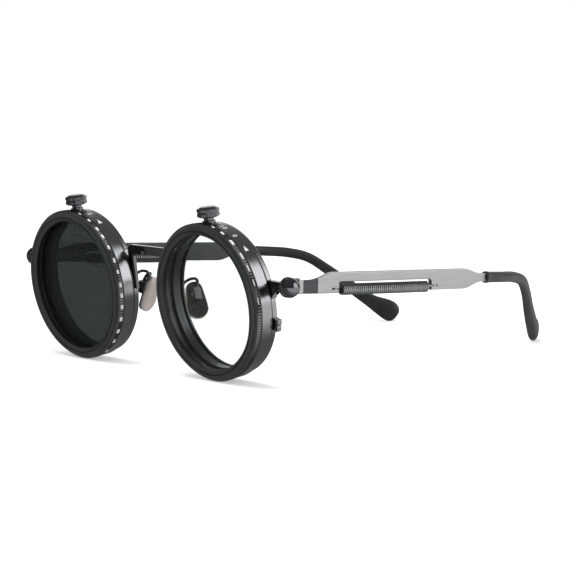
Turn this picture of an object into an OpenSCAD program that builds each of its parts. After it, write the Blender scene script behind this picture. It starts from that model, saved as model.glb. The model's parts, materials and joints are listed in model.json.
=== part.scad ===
// Round glasses with a turning tint dial on each ring, sprung metal temples and curled ear tips.
// Seen from the front, +X is to the right, the face of the rings looks along -Y and +Z is up.
// The glasses stand on the bottoms of both rings and on both ear tips, at z = 0.

/* [Rings] */
// Outside diameter of a ring over its knurl
ring_d = 52; // [48:0.5:56]
// Distance between the two ring centres
ring_spacing = 73.6; // [72:0.2:80]
// Width of the bare face, from the ring's outside to the clear bore
face_w = 3.8; // [3.6:0.1:4.6]
// Forward lean of both rings, in degrees
lean = 6.8; // [0:0.2:9]
// Thickness of the front bezel's flange
bezel_t = 0.5; // [0.4:0.05:0.8]
// Width of the knurled band of the dial
dial_w = 1.8; // [1.4:0.1:2.6]
// Width of the plain body ring behind the dial
body_w = 4.1; // [3.8:0.1:5]
// Width of the rear rim
rim_w = 1.9; // [1.7:0.1:2.4]
// Open joint between the body ring and the rear rim
rim_gap = 0.3; // [0.2:0.05:0.5]
// Wall of the body ring over the dial's spigot
body_wall = 1.3; // [1.1:0.05:1.5]
// Teeth around the dial's knurl
dial_teeth = 180; // [90:10:200]
// Depth of the dial's knurl
dial_knurl = 0.3; // [0.15:0.05:0.4]
// Thickness of the front lens
front_lens_t = 1.5; // [1:0.1:1.6]
// Thickness of the rear lens
rear_lens_t = 1; // [0.8:0.1:1.1]

/* [Lock knob] */
// Diameter of the knob's head
knob_d = 7.5; // [6:0.1:9]
// Height of the knob's head
knob_h = 3.4; // [2.6:0.1:4.5]
// Diameter of the stem under the head
stem_d = 3.4; // [2.6:0.1:4]
// Height of the head's underside above the body ring
knob_lift = 1.5; // [1.2:0.1:3]
// Diameter of the knob's screw
lock_screw_d = 1.6; // [1.2:0.1:1.8]
// Teeth around the knob
knob_teeth = 36; // [24:4:48]

/* [Bridge] */
// Height of the bridge's bar
bridge_h = 3.1; // [2.4:0.1:4]
// Depth of the bridge from front to back
bridge_t = 1.5; // [1.2:0.1:2]
// Height of the bar's middle above the ring centres
bridge_z = 13; // [10:0.2:15]
// Width of a bridge leg
leg_w = 2.8; // [2.2:0.1:3.6]
// Height at which a leg ends, measured from the ring centres
leg_end_z = -0.7; // [-3:0.1:2]

/* [Nose pads] */
// Height of a nose pad
pad_h = 12.8; // [11:0.2:15]
// Width of a nose pad from front to back
pad_w = 7.6; // [6:0.2:9]
// Thickness of a nose pad
pad_t = 3; // [2.4:0.1:3.6]
// Diameter of the wire that carries a pad
pad_wire_d = 1; // [0.8:0.05:1.2]

/* [Hinges] */
// Height of the hinges above the ring centres
hinge_up = 7; // [6:0.1:8]
// Height of a whole hinge
hinge_h = 4.2; // [3.6:0.1:5]
// Diameter of a hinge knuckle
knuckle_d = 2.8; // [2.4:0.1:3.2]
// Diameter of the hinge screw
hinge_screw_d = 1.2; // [1:0.1:1.4]
// Diameter of the round cap nut
cap_d = 6.6; // [5.6:0.1:6.7]
// Length of the endpiece from the rear rim to the cap nut
arm_len = 7.8; // [7.4:0.1:9]

/* [Temples] */
// Thickness of a temple blade
blade_t = 1.6; // [1.2:0.1:2]
// Height of the blade's widest part
blade_h = 6.8; // [6:0.1:8]
// Height of the blade at its front neck
front_neck_h = 4.4; // [3.6:0.1:5]
// Height of the blade at its rear neck
rear_neck_h = 2.8; // [2.4:0.1:3.4]
// Length of the notch that holds the spring
notch_len = 43; // [38:0.5:46]
// Height of the strip left above the notch
strip_h = 3.2; // [2.6:0.1:3.8]
// Length of a temple blade behind its hinge
blade_len = 84.5; // [78:0.5:92]
// Angle at which the temples draw together towards the ears
splay = 3.4; // [0:0.2:6]
// Angle at which the temples fall towards the ears
fall = 3.4; // [1:0.2:5]
// Diameter of the spring's wire
spring_wire_d = 0.5; // [0.4:0.05:0.52]
// Outside diameter of the spring
spring_d = 3.8; // [3.2:0.1:4]
// Distance from one curl of the spring to the next
spring_pitch = 0.95; // [0.94:0.01:1.1]

/* [Ear tips] */
// Length from the hinge to the end of an ear tip
ear_reach = 141; // [136:0.5:148]
// Distance that an ear tip curls in towards the head
ear_inset = 23; // [16:0.5:26]
// Height of a sleeve where it leaves the blade
sleeve_h = 3.5; // [3.2:0.1:4.2]
// Thickness of a sleeve where it leaves the blade
sleeve_t = 3.1; // [2.8:0.1:3.6]
// Width of the paddle at the end of an ear tip
paddle_w = 7.6; // [6:0.2:9]
// Thickness of that paddle
paddle_t = 4.4; // [3.6:0.1:5]

/* [Hidden] */
fit = 0.05;            // running clearance on a radius
slack = 0.1;           // clearance between faces that pass each other
bond = 0.02;           // clearance between pieces that are screwed or glued together
eps = 0.01;
$fn = 64;

// Radii of a ring, from the outside in
ring_r = ring_d / 2;
bezel_r = ring_r - 0.5;
bezel_chamfer = 0.3;
body_r = ring_r - 0.15;
spigot_r = body_r - body_wall;
clear_r = ring_r - face_w;
sleeve_r = clear_r + 1.25;
lens_r = sleeve_r - slack;
neck_r = spigot_r - 0.35;
rim_r = ring_r - 0.8;

// Depths behind the front face
dial_s = bezel_t;
body_s = dial_s + dial_w + slack;
body_end_s = body_s + body_w;
rim_s = body_end_s + rim_gap;
rim_end_s = rim_s + rim_w;
shelf_t = 0.5;                              // inner flange of the body ring, and lip of the rim
spigot_end_s = body_end_s - shelf_t - slack;
lens_shelf_s = spigot_end_s - 1.6;          // shoulder in the dial behind the front lens
lens_s = lens_shelf_s - front_lens_t;
rear_lens_s = rim_end_s - shelf_t - rear_lens_t;
snap_t = 0.5;
snap_s = body_s + 0.6;
snap_depth = 0.35;
lock_s = spigot_end_s - 0.9;
lock_groove_w = 1;
lock_groove_depth = 0.5;

// Height of the ring centres, so that both rings stand on z = 0
ring_z = ring_r * cos(lean) - dial_s * sin(lean);

// Hinge place, measured from the point midway between the ring centres
arm_z = 6.3;                                // height of the endpiece's arm above the centres
arm_h = 3;
arm_s = rim_s;                              // the arm starts level with the rim's front edge
arm_d = 2.2;
rim_x = ring_spacing / 2 + sqrt(rim_r * rim_r - arm_z * arm_z);
cap_x = rim_x + arm_len;                    // seat of the cap nut
cap_s = arm_s + arm_d / 2;
knuckle_r = knuckle_d / 2;
hinge_x = cap_x - 0.7;
hinge_s = cap_s * cos(lean) - arm_z * sin(lean) + cap_d / 2 + knuckle_r + 0.15;

module color_steel() { color([0.62, 0.62, 0.64]) children(); }
module color_gunmetal() { color([0.3, 0.3, 0.32]) children(); }
module color_black() { color([0.08, 0.08, 0.09]) children(); }
module color_tip() { color([0.16, 0.16, 0.17]) children(); }

// The left side is modelled, and the right side is its mirror image
module on_side(side) {
    if (side > 0) children();
    else mirror([1, 0, 0]) children();
}

// Frame of both rings, leaning forward, with depth behind the front face along +Y
module front_frame() {
    translate([0, ring_y, ring_z]) rotate([lean, 0, 0]) children();
}

// Frame of one ring as seen from the front: z = 0 is the front face and -z is depth
module ring_frame(side) {
    on_side(side) front_frame() translate([ring_spacing / 2, 0, 0]) rotate([90, 0, 0]) children();
}

// Round disc between two depths
module disc(r, s0, s1) {
    translate([0, 0, -s1]) cylinder(r = r, h = s1 - s0, $fn = 128);
}

// Round ring between two depths
module band(r_out, r_in, s0, s1) {
    difference() {
        disc(r_out, s0, s1);
        disc(r_in, s0 - 1, s1 + 1);
    }
}

// Toothed outline: each tooth is a triangle that stands on the root circle
function knurl_points(teeth, tip_r, root_r) = [
    for (i = [0 : teeth - 1]) each [
        [tip_r * cos(360 * i / teeth), tip_r * sin(360 * i / teeth)],
        [root_r * cos(360 * (i + 0.5) / teeth), root_r * sin(360 * (i + 0.5) / teeth)]
    ]
];

module knurl(teeth, tip_r, root_r, h) {
    linear_extrude(h) polygon(knurl_points(teeth, tip_r, root_r));
}

face_groove_r = clear_r + 1.6;
face_groove_w = 0.4;
face_groove_depth = 0.3;
lip_groove_r = clear_r + 0.5;
lip_groove_w = 0.2;
lip_groove_depth = 0.2;

// The front bezel: a grooved face on a sleeve that screws into the dial and holds the lens
module front_bezel(side) {
    color_black() ring_frame(side) difference() {
        union() {
            disc(bezel_r - bezel_chamfer, 0, eps);
            translate([0, 0, -bezel_chamfer])
                cylinder(r1 = bezel_r, r2 = bezel_r - bezel_chamfer, h = bezel_chamfer, $fn = 128);
            disc(bezel_r, bezel_chamfer, bezel_t);
            disc(sleeve_r - bond, bezel_t, lens_s - bond);
        }
        disc(clear_r, -1, lens_s + 1);
        translate([0, 0, -bezel_chamfer])
            cylinder(r1 = clear_r, r2 = clear_r + bezel_chamfer + eps, h = bezel_chamfer + eps, $fn = 128);
        band(face_groove_r + face_groove_w / 2, face_groove_r - face_groove_w / 2, -1, face_groove_depth);
        band(lip_groove_r + lip_groove_w / 2, lip_groove_r - lip_groove_w / 2, -1, lip_groove_depth);
    }
}

// The dial: a knurled band with a spigot that turns inside the body ring
module dial_ring(side) {
    color_gunmetal() ring_frame(side) difference() {
        union() {
            translate([0, 0, -dial_s - dial_w]) knurl(dial_teeth, ring_r, ring_r - dial_knurl, dial_w);
            disc(spigot_r, dial_s + dial_w - eps, spigot_end_s);
        }
        disc(sleeve_r, dial_s - 1, lens_shelf_s);
        disc(clear_r + 0.2, lens_shelf_s - 1, spigot_end_s + 1);
        band(spigot_r + 1, spigot_r - snap_depth, snap_s - fit, snap_s + snap_t + fit);
        band(spigot_r + 1, spigot_r - lock_groove_depth, lock_s - lock_groove_w / 2, lock_s + lock_groove_w / 2);
    }
}

module front_lens(side) {
    color([0.9, 0.92, 0.92, 0.3]) ring_frame(side) disc(lens_r, lens_s, lens_shelf_s - bond);
}

// The body ring: it houses the dial's spigot and carries the lock screw's bush
module body_ring(side) {
    color_gunmetal() ring_frame(side) difference() {
        union() {
            disc(body_r, body_s, body_end_s);
            disc(neck_r, body_end_s - eps, rear_lens_s - bond);
        }
        disc(spigot_r + fit, body_s - 1, body_end_s - shelf_t);
        disc(clear_r + 0.3, body_s - 1, rear_lens_s + 1);
        band(spigot_r + snap_depth + fit, spigot_r - 1, snap_s - fit, snap_s + snap_t + fit);
        translate([0, 0, -lock_s]) rotate([-90, 0, 0]) cylinder(d = bush_d + 2 * bond, h = ring_r + 1);
    }
}

// Split wire ring that keeps the dial's spigot in the body ring
module snap_ring(side) {
    color_steel() ring_frame(side) difference() {
        band(spigot_r + snap_depth, spigot_r - snap_depth + fit, snap_s, snap_s + snap_t);
        translate([-1.5, -ring_r - 1, -ring_r]) cube([3, ring_r, 2 * ring_r]);
    }
}

bush_d = lock_screw_d + 1.1;
bush_flange_d = stem_d + 1;
bush_flange_t = 0.45;

// Bush for the lock screw: its flange is saddled on the body ring
module knob_bush(side) {
    color_black() ring_frame(side) difference() {
        translate([0, 0, -lock_s]) rotate([-90, 0, 0]) difference() {
            union() {
                cylinder(d = bush_d, h = body_r + bush_flange_t);
                cylinder(d = bush_flange_d, h = body_r + bush_flange_t);
            }
            cylinder(d = lock_screw_d + 2 * fit, h = ring_r + 5);
        }
        difference() {
            disc(body_r + bond, -20, 40);
            translate([0, 0, -lock_s]) rotate([-90, 0, 0]) cylinder(d = bush_d, h = ring_r + 5);
        }
        disc(spigot_r + fit + bond, -20, 40);
    }
}

// The lock knob: a double knurled head on a stem, and a screw whose point bears on the dial
module lock_knob(side) {
    head_z = body_r + knob_lift;
    band_h = (knob_h - 1.1) / 2;
    root_r = knob_d / 2 - 0.3;
    color_black() ring_frame(side) translate([0, 0, -lock_s]) rotate([-90, 0, 0]) {
        translate([0, 0, head_z]) {
            cylinder(r1 = root_r - 0.45, r2 = root_r - 0.1, h = 0.26);
            translate([0, 0, 0.25]) knurl(knob_teeth, knob_d / 2, root_r, band_h);
            translate([0, 0, 0.25 + band_h]) cylinder(r = root_r - 0.2, h = 0.35);
            translate([0, 0, 0.6 + band_h]) knurl(knob_teeth, knob_d / 2, root_r, band_h);
            translate([0, 0, 0.6 + 2 * band_h]) cylinder(r1 = root_r - 0.1, r2 = root_r - 0.8, h = 0.5);
        }
        translate([0, 0, body_r + bush_flange_t + slack])
            cylinder(d = stem_d, h = knob_lift - bush_flange_t - slack + eps);
        translate([0, 0, spigot_r + slack])
            cylinder(d = lock_screw_d, h = body_r - spigot_r + bush_flange_t + eps);
        translate([0, 0, spigot_r - lock_groove_depth + slack])
            cylinder(d = lock_groove_w - 0.2, h = lock_groove_depth + eps);
    }
}

block_phi = 104;       // place of the closing block, clockwise from the top as seen from the front
block_h = 4.1;
block_out = 2.4;       // how far the block stands out of the rim
block_inset = 0.1;     // step from the rim's edges down to the block's sides
rim_slit = 0.4;
rim_screw_d = 1;

// The rear rim: a split ring that clamps the rear lens on the body ring's neck
module rear_rim(side) {
    block_x = rim_r - 0.5;
    color_gunmetal() ring_frame(side) difference() {
        union() {
            disc(rim_r, rim_s, rim_end_s);
            rotate([0, 0, 90 - block_phi]) translate([block_x, -block_h / 2, block_inset - rim_end_s])
                cube([block_out + 0.5, block_h, rim_w - 2 * block_inset]);
        }
        disc(neck_r + bond, rim_s - 1, rim_end_s - shelf_t);
        disc(clear_r + 0.3, rim_s - 1, rim_end_s + 1);
        rotate([0, 0, 90 - block_phi]) {
            translate([clear_r - 1, -rim_slit / 2, -rim_end_s - 1]) cube([ring_r, rim_slit, rim_w + 2]);
            translate([rim_r + block_out / 2 + 0.2, 0, -(rim_s + rim_end_s) / 2]) rotate([-90, 0, 0]) {
                translate([0, 0, -block_h]) cylinder(d = rim_screw_d + 2 * bond, h = 2 * block_h);
                translate([0, 0, block_h / 2 - 0.5]) cylinder(d = rim_screw_d + 0.6, h = block_h);
            }
        }
    }
}

module rear_lens(side) {
    color([0.35, 0.37, 0.37, 0.5]) ring_frame(side)
        disc(neck_r - fit, rear_lens_s, rim_end_s - shelf_t - bond);
}

// Countersunk screws that close the two rims
module rim_screws() {
    color_steel() for (side = [1, -1]) ring_frame(side)
        rotate([0, 0, 90 - block_phi])
            translate([rim_r + block_out / 2 + 0.2, 0, -(rim_s + rim_end_s) / 2]) rotate([-90, 0, 0]) {
                translate([0, 0, -block_h / 2]) cylinder(d = rim_screw_d, h = block_h - 0.5 + 2 * bond);
                translate([0, 0, block_h / 2 - 0.5 + bond]) cylinder(d = rim_screw_d + 0.5, h = 0.48);
            }
}

// The bridge: an upside-down U of flat bar, saddled on the inner sides of both rims
module bridge() {
    leg_x = ring_spacing / 2 - rim_r + 1.6;      // outer edge of a leg, just inside the rim's edge
    top_z = bridge_z + bridge_h / 2;
    depth = rim_s + 0.4;
    bend_r = 1.2;
    color_gunmetal() front_frame() difference() {
        translate([0, depth + bridge_t, 0]) rotate([90, 0, 0]) linear_extrude(bridge_t)
            difference() {
                union() {
                    translate([-leg_x + bend_r, top_z - bend_r]) circle(r = bend_r);
                    translate([leg_x - bend_r, top_z - bend_r]) circle(r = bend_r);
                    translate([-leg_x + bend_r, top_z - 2 * bend_r]) square([2 * (leg_x - bend_r), 2 * bend_r]);
                    translate([-leg_x, leg_end_z]) square([2 * leg_x, top_z - bend_r - leg_end_z]);
                }
                translate([-leg_x + leg_w, leg_end_z - 1])
                    square([2 * (leg_x - leg_w), bridge_z - bridge_h / 2 - leg_end_z + 1]);
            }
        for (x = [-1, 1]) translate([x * ring_spacing / 2, 0, 0]) rotate([90, 0, 0])
            disc(rim_r + bond, 0, 30);
    }
}

// The endpiece: a foot saddled on the rear rim, an arm and a stud for the cap nut
module endpiece(side) {
    low_z = arm_z - arm_h / 2;
    high_z = arm_z + arm_h / 2;
    foot_z = 2.2;
    color_black() on_side(side) front_frame() {
        difference() {
            translate([0, arm_s + arm_d, 0]) rotate([90, 0, 0]) linear_extrude(arm_d)
                polygon([
                    [rim_x - 3, foot_z], [rim_x + 1.4, foot_z], [rim_x + 1.8, low_z - 0.6],
                    [rim_x + 2.8, low_z], [cap_x, low_z], [cap_x, high_z], [rim_x - 3, high_z + 0.2]
                ]);
            translate([ring_spacing / 2, 0, 0]) rotate([90, 0, 0]) disc(rim_r + bond, 0, 30);
        }
        translate([cap_x - eps, cap_s, arm_z]) rotate([0, 90, 0]) cylinder(d = stud_d, h = stud_len);
    }
}

stud_d = 2;
stud_len = 2;

// The cap nut: a knurled collar and a dome, screwed on the endpiece's stud
module cap_nut(side) {
    collar_w = 1.4;
    cap_r = cap_d / 2;
    color_black() on_side(side) front_frame() translate([cap_x + bond, cap_s, arm_z]) rotate([0, 90, 0])
        difference() {
            union() {
                knurl(36, cap_r, cap_r - 0.25, collar_w);
                translate([0, 0, collar_w - eps]) cylinder(r = cap_r - 0.45, h = 0.3);
                translate([0, 0, collar_w + 0.2]) rotate_extrude() intersection() {
                    circle(r = cap_r - 0.05);
                    square(cap_r);
                }
            }
            translate([0, 0, -1]) cylinder(d = stud_d + 2 * bond, h = stud_len + 1.2);
        }
}

// Frame of a hinge and its temple: the origin is on the hinge's axis at half its height,
// +Y runs along the temple and +Z along the axis
module temple_frame(side) {
    on_side(side) translate([hinge_x, ring_y + hinge_s, ring_z + hinge_up]) rotate([-fall, 0, splay])
        children();
}

middle_h = hinge_h * 0.36;                 // height of the temple's knuckle
lug_h = (hinge_h - middle_h) / 2 - slack;  // height of each knuckle of the front
screw_head_t = 0.5;

// One knuckle of a hinge, with its bore
module knuckle(z0, h, bore) {
    translate([0, 0, z0]) difference() {
        cylinder(r = knuckle_r, h = h);
        translate([0, 0, -1]) cylinder(d = bore, h = h + 2);
    }
}

// The front half of a hinge: two knuckles on a block that is brazed behind the endpiece
module hinge_front(side) {
    reach = hinge_s - (arm_s + arm_d) * cos(lean) + arm_z * sin(lean) + 2;
    bore = hinge_screw_d + 2 * bond;
    color_gunmetal() difference() {
        temple_frame(side) {
            for (z = [-hinge_h / 2, hinge_h / 2 - lug_h]) {
                knuckle(z, lug_h, bore);
                difference() {
                    translate([-knuckle_r, -reach, z]) cube([knuckle_r + 0.4, reach, lug_h]);
                    cylinder(r = hinge_screw_d / 2 + bond, h = 20, center = true);
                }
            }
            translate([-knuckle_r, -reach, -hinge_h / 2]) cube([knuckle_r + 0.4, reach - knuckle_r - 0.2, hinge_h]);
        }
        on_side(side) front_frame() translate([hinge_x - 15, arm_s + arm_d + bond - 20, -20])
            cube([30, 20, 60]);
    }
}

// Hinge screws, headed on the upper knuckle
module hinge_screws() {
    color_steel() for (side = [1, -1]) temple_frame(side) {
        translate([0, 0, -hinge_h / 2]) cylinder(d = hinge_screw_d, h = hinge_h + 2 * bond);
        translate([0, 0, hinge_h / 2 + bond]) cylinder(d = hinge_screw_d + 0.8, h = screw_head_t);
    }
}

blade_x = knuckle_r + slack;               // inner face of the blade
leaf_t = 0.7;
leaf_len = 7;

// The rear half of a hinge: one knuckle on a leaf that is riveted to the blade
module hinge_rear(side) {
    color_gunmetal() temple_frame(side) {
        difference() {
            union() {
                translate([0, 0, -middle_h / 2]) cylinder(r = knuckle_r, h = middle_h);
                translate([0, 0, -middle_h / 2]) cube([blade_x - bond, knuckle_r + 0.9, middle_h]);
            }
            cylinder(d = hinge_screw_d + 2 * fit, h = 20, center = true);
        }
        difference() {
            translate([blade_x - leaf_t - bond, knuckle_r + 0.3, -hinge_h / 2 + 0.4])
                cube([leaf_t, leaf_len, hinge_h - 0.8]);
            for (y = [3.4, 6.4]) translate([0, knuckle_r + y, 0]) rotate([0, 90, 0])
                cylinder(d = rivet_d + 2 * bond, h = 10);
        }
    }
}

rivet_d = 1;

// Rivets through the hinge leaf, flush in the blade
module hinge_rivets(side) {
    color_steel() temple_frame(side) for (y = [3.4, 6.4]) translate([0, knuckle_r + y, 0])
        rotate([0, 90, 0]) {
            translate([0, 0, blade_x - leaf_t - 0.3]) cylinder(d = rivet_d + 0.5, h = 0.3 - bond);
            translate([0, 0, blade_x - leaf_t - 0.3]) cylinder(d = rivet_d, h = leaf_t + 0.3 + 0.6);
        }
}

// Blade outline, along the temple and up it
blade_start = -1.3;
swell_start = 3;
swell_end = 14;
notch_start = 15.6;
notch_end = notch_start + notch_len;
low_w = -2.3;                              // lower edge of the wide part
high_w = low_w + blade_h;
notch_w = high_w - strip_h;
neck_mid_w = 1.3;                          // middle of the rear neck
taper_start = blade_len - 10.5;
taper_end = blade_len - 2.6;
spring_w = -1.15;                          // height of the spring's middle

// Smooth step from a to b over the stretch u0 to u1
function ease(u, u0, u1, a, b) = a + (b - a) * (1 - cos(180 * min(1, max(0, (u - u0) / (u1 - u0))))) / 2;

function upper_edge(u) = u < taper_start
    ? ease(u, swell_start, swell_end, front_neck_h / 2, high_w)
    : ease(u, taper_start, taper_end, high_w, neck_mid_w + rear_neck_h / 2);
function lower_edge(u) = u < taper_start
    ? ease(u, blade_start, swell_end, -front_neck_h / 2, low_w)
    : ease(u, taper_start, taper_end, low_w, neck_mid_w - rear_neck_h / 2);

edge_steps = concat([blade_start], [for (i = [0 : 8]) swell_start + (swell_end - swell_start) * i / 8],
    [for (i = [0 : 8]) taper_start + (taper_end - taper_start) * i / 8], [blade_len]);

module blade_outline() {
    corner = 1;
    difference() {
        polygon(concat(
            [for (u = edge_steps) [u, upper_edge(u)]],
            [for (i = [len(edge_steps) - 1 : -1 : 0]) [edge_steps[i], lower_edge(edge_steps[i])]]
        ));
        translate([notch_start + corner, notch_w - corner]) circle(r = corner);
        translate([notch_end - corner, notch_w - corner]) circle(r = corner);
        translate([notch_start + corner, low_w - 1]) square([notch_len - 2 * corner, notch_w - low_w + 1]);
        translate([notch_start, low_w - 1]) square([notch_len, notch_w - corner - low_w + 1]);
    }
}

hook_w = spring_w + 0.3;
hook_in = 5;           // distance from the notch's end to the spring's anchor hole
hook_d = 0.9;

// The temple blade: a flat bar with the notch for its spring
module temple_blade(side) {
    color_steel() temple_frame(side) difference() {
        translate([blade_x, 0, 0]) rotate([90, 0, 90]) linear_extrude(blade_t) blade_outline();
        for (y = [3.4, 6.4]) translate([0, knuckle_r + y, 0]) rotate([0, 90, 0])
            cylinder(d = rivet_d + 2 * bond, h = blade_x + 0.6 + bond);
        for (u = [notch_start - hook_in / 2, notch_end + hook_in / 2])
            translate([0, u, hook_w]) rotate([0, 90, 0]) cylinder(d = hook_d, h = 20);
    }
}

function unit(v) = v / norm(v);

// Tangents along a row of points
function tangents(p) = [for (i = [0 : len(p) - 1]) unit(p[min(i + 1, len(p) - 1)] - p[max(i - 1, 0)])];

// Side vectors along a row of tangents, each carried from the last without twisting
function carried(t, first) = [
    for (i = 0, v = unit(first - (first * t[0]) * t[0]); i < len(t);
        i = i + 1, v = i < len(t) ? unit(v - (v * t[i]) * t[i]) : v) v
];

// Closed skin over rings that have the same number of points, made of triangles
module skin(rings) {
    n = len(rings[0]);
    m = len(rings);
    polyhedron(
        points = [for (r = rings) each r],
        faces = concat(
            [for (j = [1 : n - 2]) [0, j, j + 1]],
            [for (i = [0 : m - 2]) for (j = [0 : n - 1]) each [
                [i * n + j, (i + 1) * n + j, i * n + (j + 1) % n],
                [i * n + (j + 1) % n, (i + 1) * n + j, (i + 1) * n + (j + 1) % n]
            ]],
            [for (j = [1 : n - 2]) [(m - 1) * n, (m - 1) * n + j + 1, (m - 1) * n + j]]
        )
    );
}

// Round tube of a given diameter along a row of points
module tube(p, d, sides, first) {
    t = tangents(p);
    v = carried(t, first);
    skin([for (i = [0 : len(p) - 1]) [for (j = [0 : sides - 1])
        p[i] + d / 2 * (cos(360 * j / sides) * v[i] + sin(360 * j / sides) * cross(t[i], v[i]))]]);
}

// Spring route along Y: straight end, a turn that opens out, the curls, and the same at the far end
coil_r = (spring_d - spring_wire_d) / 2;
lead = 1.6;            // length over which an end opens out to the coil
straight = 3 * spring_wire_d;
curls = floor((notch_len - 2 * (lead + straight)) / spring_pitch);
end_len = (notch_len - curls * spring_pitch) / 2 - lead;

function coil_point(u, r, a) = [r * cos(a), u, r * sin(a)];

spring_route = concat(
    [for (i = [0 : 2]) coil_point(end_len * i / 2, 0, 0)],
    [for (i = [1 : 5]) coil_point(end_len + lead * i / 6, coil_r * ease(i, 0, 6, 0, 1), -180 + 30 * i)],
    [for (i = [0 : 8 * curls]) coil_point(end_len + lead + spring_pitch * i / 8, coil_r, 45 * i)],
    [for (i = [1 : 5]) coil_point(end_len + lead + curls * spring_pitch + lead * i / 6,
        coil_r * ease(i, 0, 6, 1, 0), 30 * i)],
    [for (i = [2 : -1 : 0]) coil_point(notch_len - end_len * i / 2, 0, 0)]
);

// Least distance between points of the route that lie half a curl or more apart, less the wire
function least_gap(p, apart) = min([for (i = [0 : len(p) - 1 - apart])
    min([for (j = [i + apart : min(i + 3 * apart, len(p) - 1)]) norm(p[i] - p[j])])]) - spring_wire_d;
echo(str("Least gap of the spring to itself: ", least_gap(spring_route, 5), " mm over ", curls, " curls"));

module temple_spring(side) {
    color_gunmetal() temple_frame(side) translate([blade_x + blade_t / 2, notch_start, spring_w])
        tube([for (p = spring_route) p], spring_wire_d, 6, [0, 0, 1]);
}

// Ear tip route in the temple's frame: a curve from the blade's neck, down and in to the floor
function bezier(p, t) = pow(1 - t, 3) * p[0] + 3 * t * pow(1 - t, 2) * p[1]
    + 3 * t * t * (1 - t) * p[2] + t * t * t * p[3];

tip_x = blade_x + blade_t / 2;
collar_len = 1.6;
tip_start = blade_len - 0.5 + collar_len;
tip_clear = 2.6;       // height of the paddle's middle above the floor at its end
tip_end_w = (tip_clear - ring_z - hinge_up + ear_reach * sin(fall)) / cos(fall);
tip_bend = [
    [tip_x, tip_start, neck_mid_w],
    [tip_x - 3.5, tip_start + 23, neck_mid_w - 0.4],
    [tip_x - ear_inset + 14, ear_reach - 20, tip_end_w + 17],
    [tip_x - ear_inset, ear_reach, tip_end_w]
];
tip_steps = 30;

// The origin is midway between the front of the rings and the ends of the ear tips
tip_bulge = 0.69;      // how far the paddle's rounded end reaches past its path
tip_reach = (tip_x - ear_inset) * sin(splay) + (ear_reach * cos(fall) + tip_end_w * sin(fall)) * cos(splay);
ring_y = ((bezel_r - bezel_chamfer) * sin(lean) - hinge_s - tip_reach - tip_bulge) / 2;

// Half height and half thickness of the sleeve at a share of its length
function tip_half_h(t) = ease(t, 0.45, 0.93, sleeve_h, paddle_w) / 2;
function tip_half_t(t) = ease(t, 0.5, 0.93, sleeve_t, paddle_t) / 2;
// Rounding of the last stretch, like the end of an ellipse
round_from = 0.93;
function tip_round(t) = t < round_from ? 1 : sqrt(max(0.02, 1 - pow((t - round_from) / (1.001 - round_from), 2)));
function tip_share(i) = i < 22 ? i / 22 * round_from : round_from + (1 - round_from) * sin(90 * (i - 22) / (tip_steps - 22));

module tip_skin(sides, inset, from, to) {
    p = [for (i = [from : to]) bezier(tip_bend, tip_share(i))];
    along = tangents(p);
    // The first slice lies flat against the collar
    t = [for (i = [0 : len(p) - 1]) from + i == 0 ? [0, 1, 0] : along[i]];
    v = [for (a = t) unit([0, 0, 1] - ([0, 0, 1] * a) * a)];
    skin([for (i = [0 : len(p) - 1])
        let (s = tip_share(from + i), h = tip_half_h(s) * tip_round(s) - inset, w = tip_half_t(s) * tip_round(s) - inset)
        [for (j = [0 : sides - 1])
            p[i] + h * cos(360 * j / sides) * v[i] + w * sin(360 * j / sides) * cross(t[i], v[i])]]);
}

core_d = 1.5;
core_to = 20;

// The ear tip: a soft sleeve over the core, which swells to a paddle
module temple_tip(side) {
    color_tip() temple_frame(side) difference() {
        tip_skin(18, 0, 0, tip_steps);
        tube(concat([bezier(tip_bend, 0) - [0, 1, 0]], [for (i = [0 : core_to]) bezier(tip_bend, tip_share(i))],
            [bezier(tip_bend, tip_share(core_to) + 0.005)]), core_d + 4 * fit, 10, [0, 0, 1]);
    }
}

// The core: round wire, welded to the blade's neck and bent with the sleeve
module temple_core(side) {
    color_steel() temple_frame(side)
        tube(concat([[tip_x, blade_len + bond, neck_mid_w]],
            [for (i = [0 : core_to]) bezier(tip_bend, tip_share(i))]), core_d, 8, [0, 0, 1]);
}

// Ring that covers the joint between the blade's neck and the sleeve
module tip_collar(side) {
    color_black() temple_frame(side) translate([tip_x, tip_start - collar_len - bond, neck_mid_w])
        rotate([-90, 0, 0]) difference() {
            cylinder(d = sleeve_h + 0.5, h = collar_len);
            translate([-blade_t / 2 - bond, -rear_neck_h / 2 - bond, -1])
                cube([blade_t + 2 * bond, rear_neck_h + 2 * bond, collar_len + 2]);
        }
}

// Frame of a nose pad: the origin is on the screw in its box, +X points away from the nose
pad_inset = (ring_spacing - ring_d) / 2 - 10.8;
pad_place = [pad_inset + 14.9, 13.2, -1.4];
pad_lean = -20;
pad_turn = -9;
box_w = 2.2;
box_d = 2.6;
box_h = 4;
box_wall = 0.3;
stem_t = 0.9;
pad_screw_d = 0.8;
boss_r = 0.7;          // round end of the pad's stem, about the screw

module pad_frame(side) {
    on_side(side) front_frame() translate(pad_place) rotate([pad_turn, pad_lean, 0]) children();
}

// Route of the pad's wire: from the back of the rim it loops towards the nose, comes down,
// passes over the pad's top and ends in the top of the pad's box
pad_route = [for (p = [
    [12.3, rim_end_s + bond, 4.2], [12.3, rim_end_s + 0.8, 4.2], [11.3, 10.9, 4.8], [9.5, 11.7, 4.5],
    [8.8, 11.9, 3.3], [9, 11.5, 2], [9.7, 11.5, 1.5], [10.3, 12.7, 2.4], [11.2, 14.3, 3.1],
    [12.8, 15.1, 3.1], [14.3, 14.7, 2.2], [14.5, 13.9, 1.2], [14.5, 13.5, 0.4]
]) [pad_inset + p[0], p[1], p[2]]];

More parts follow.
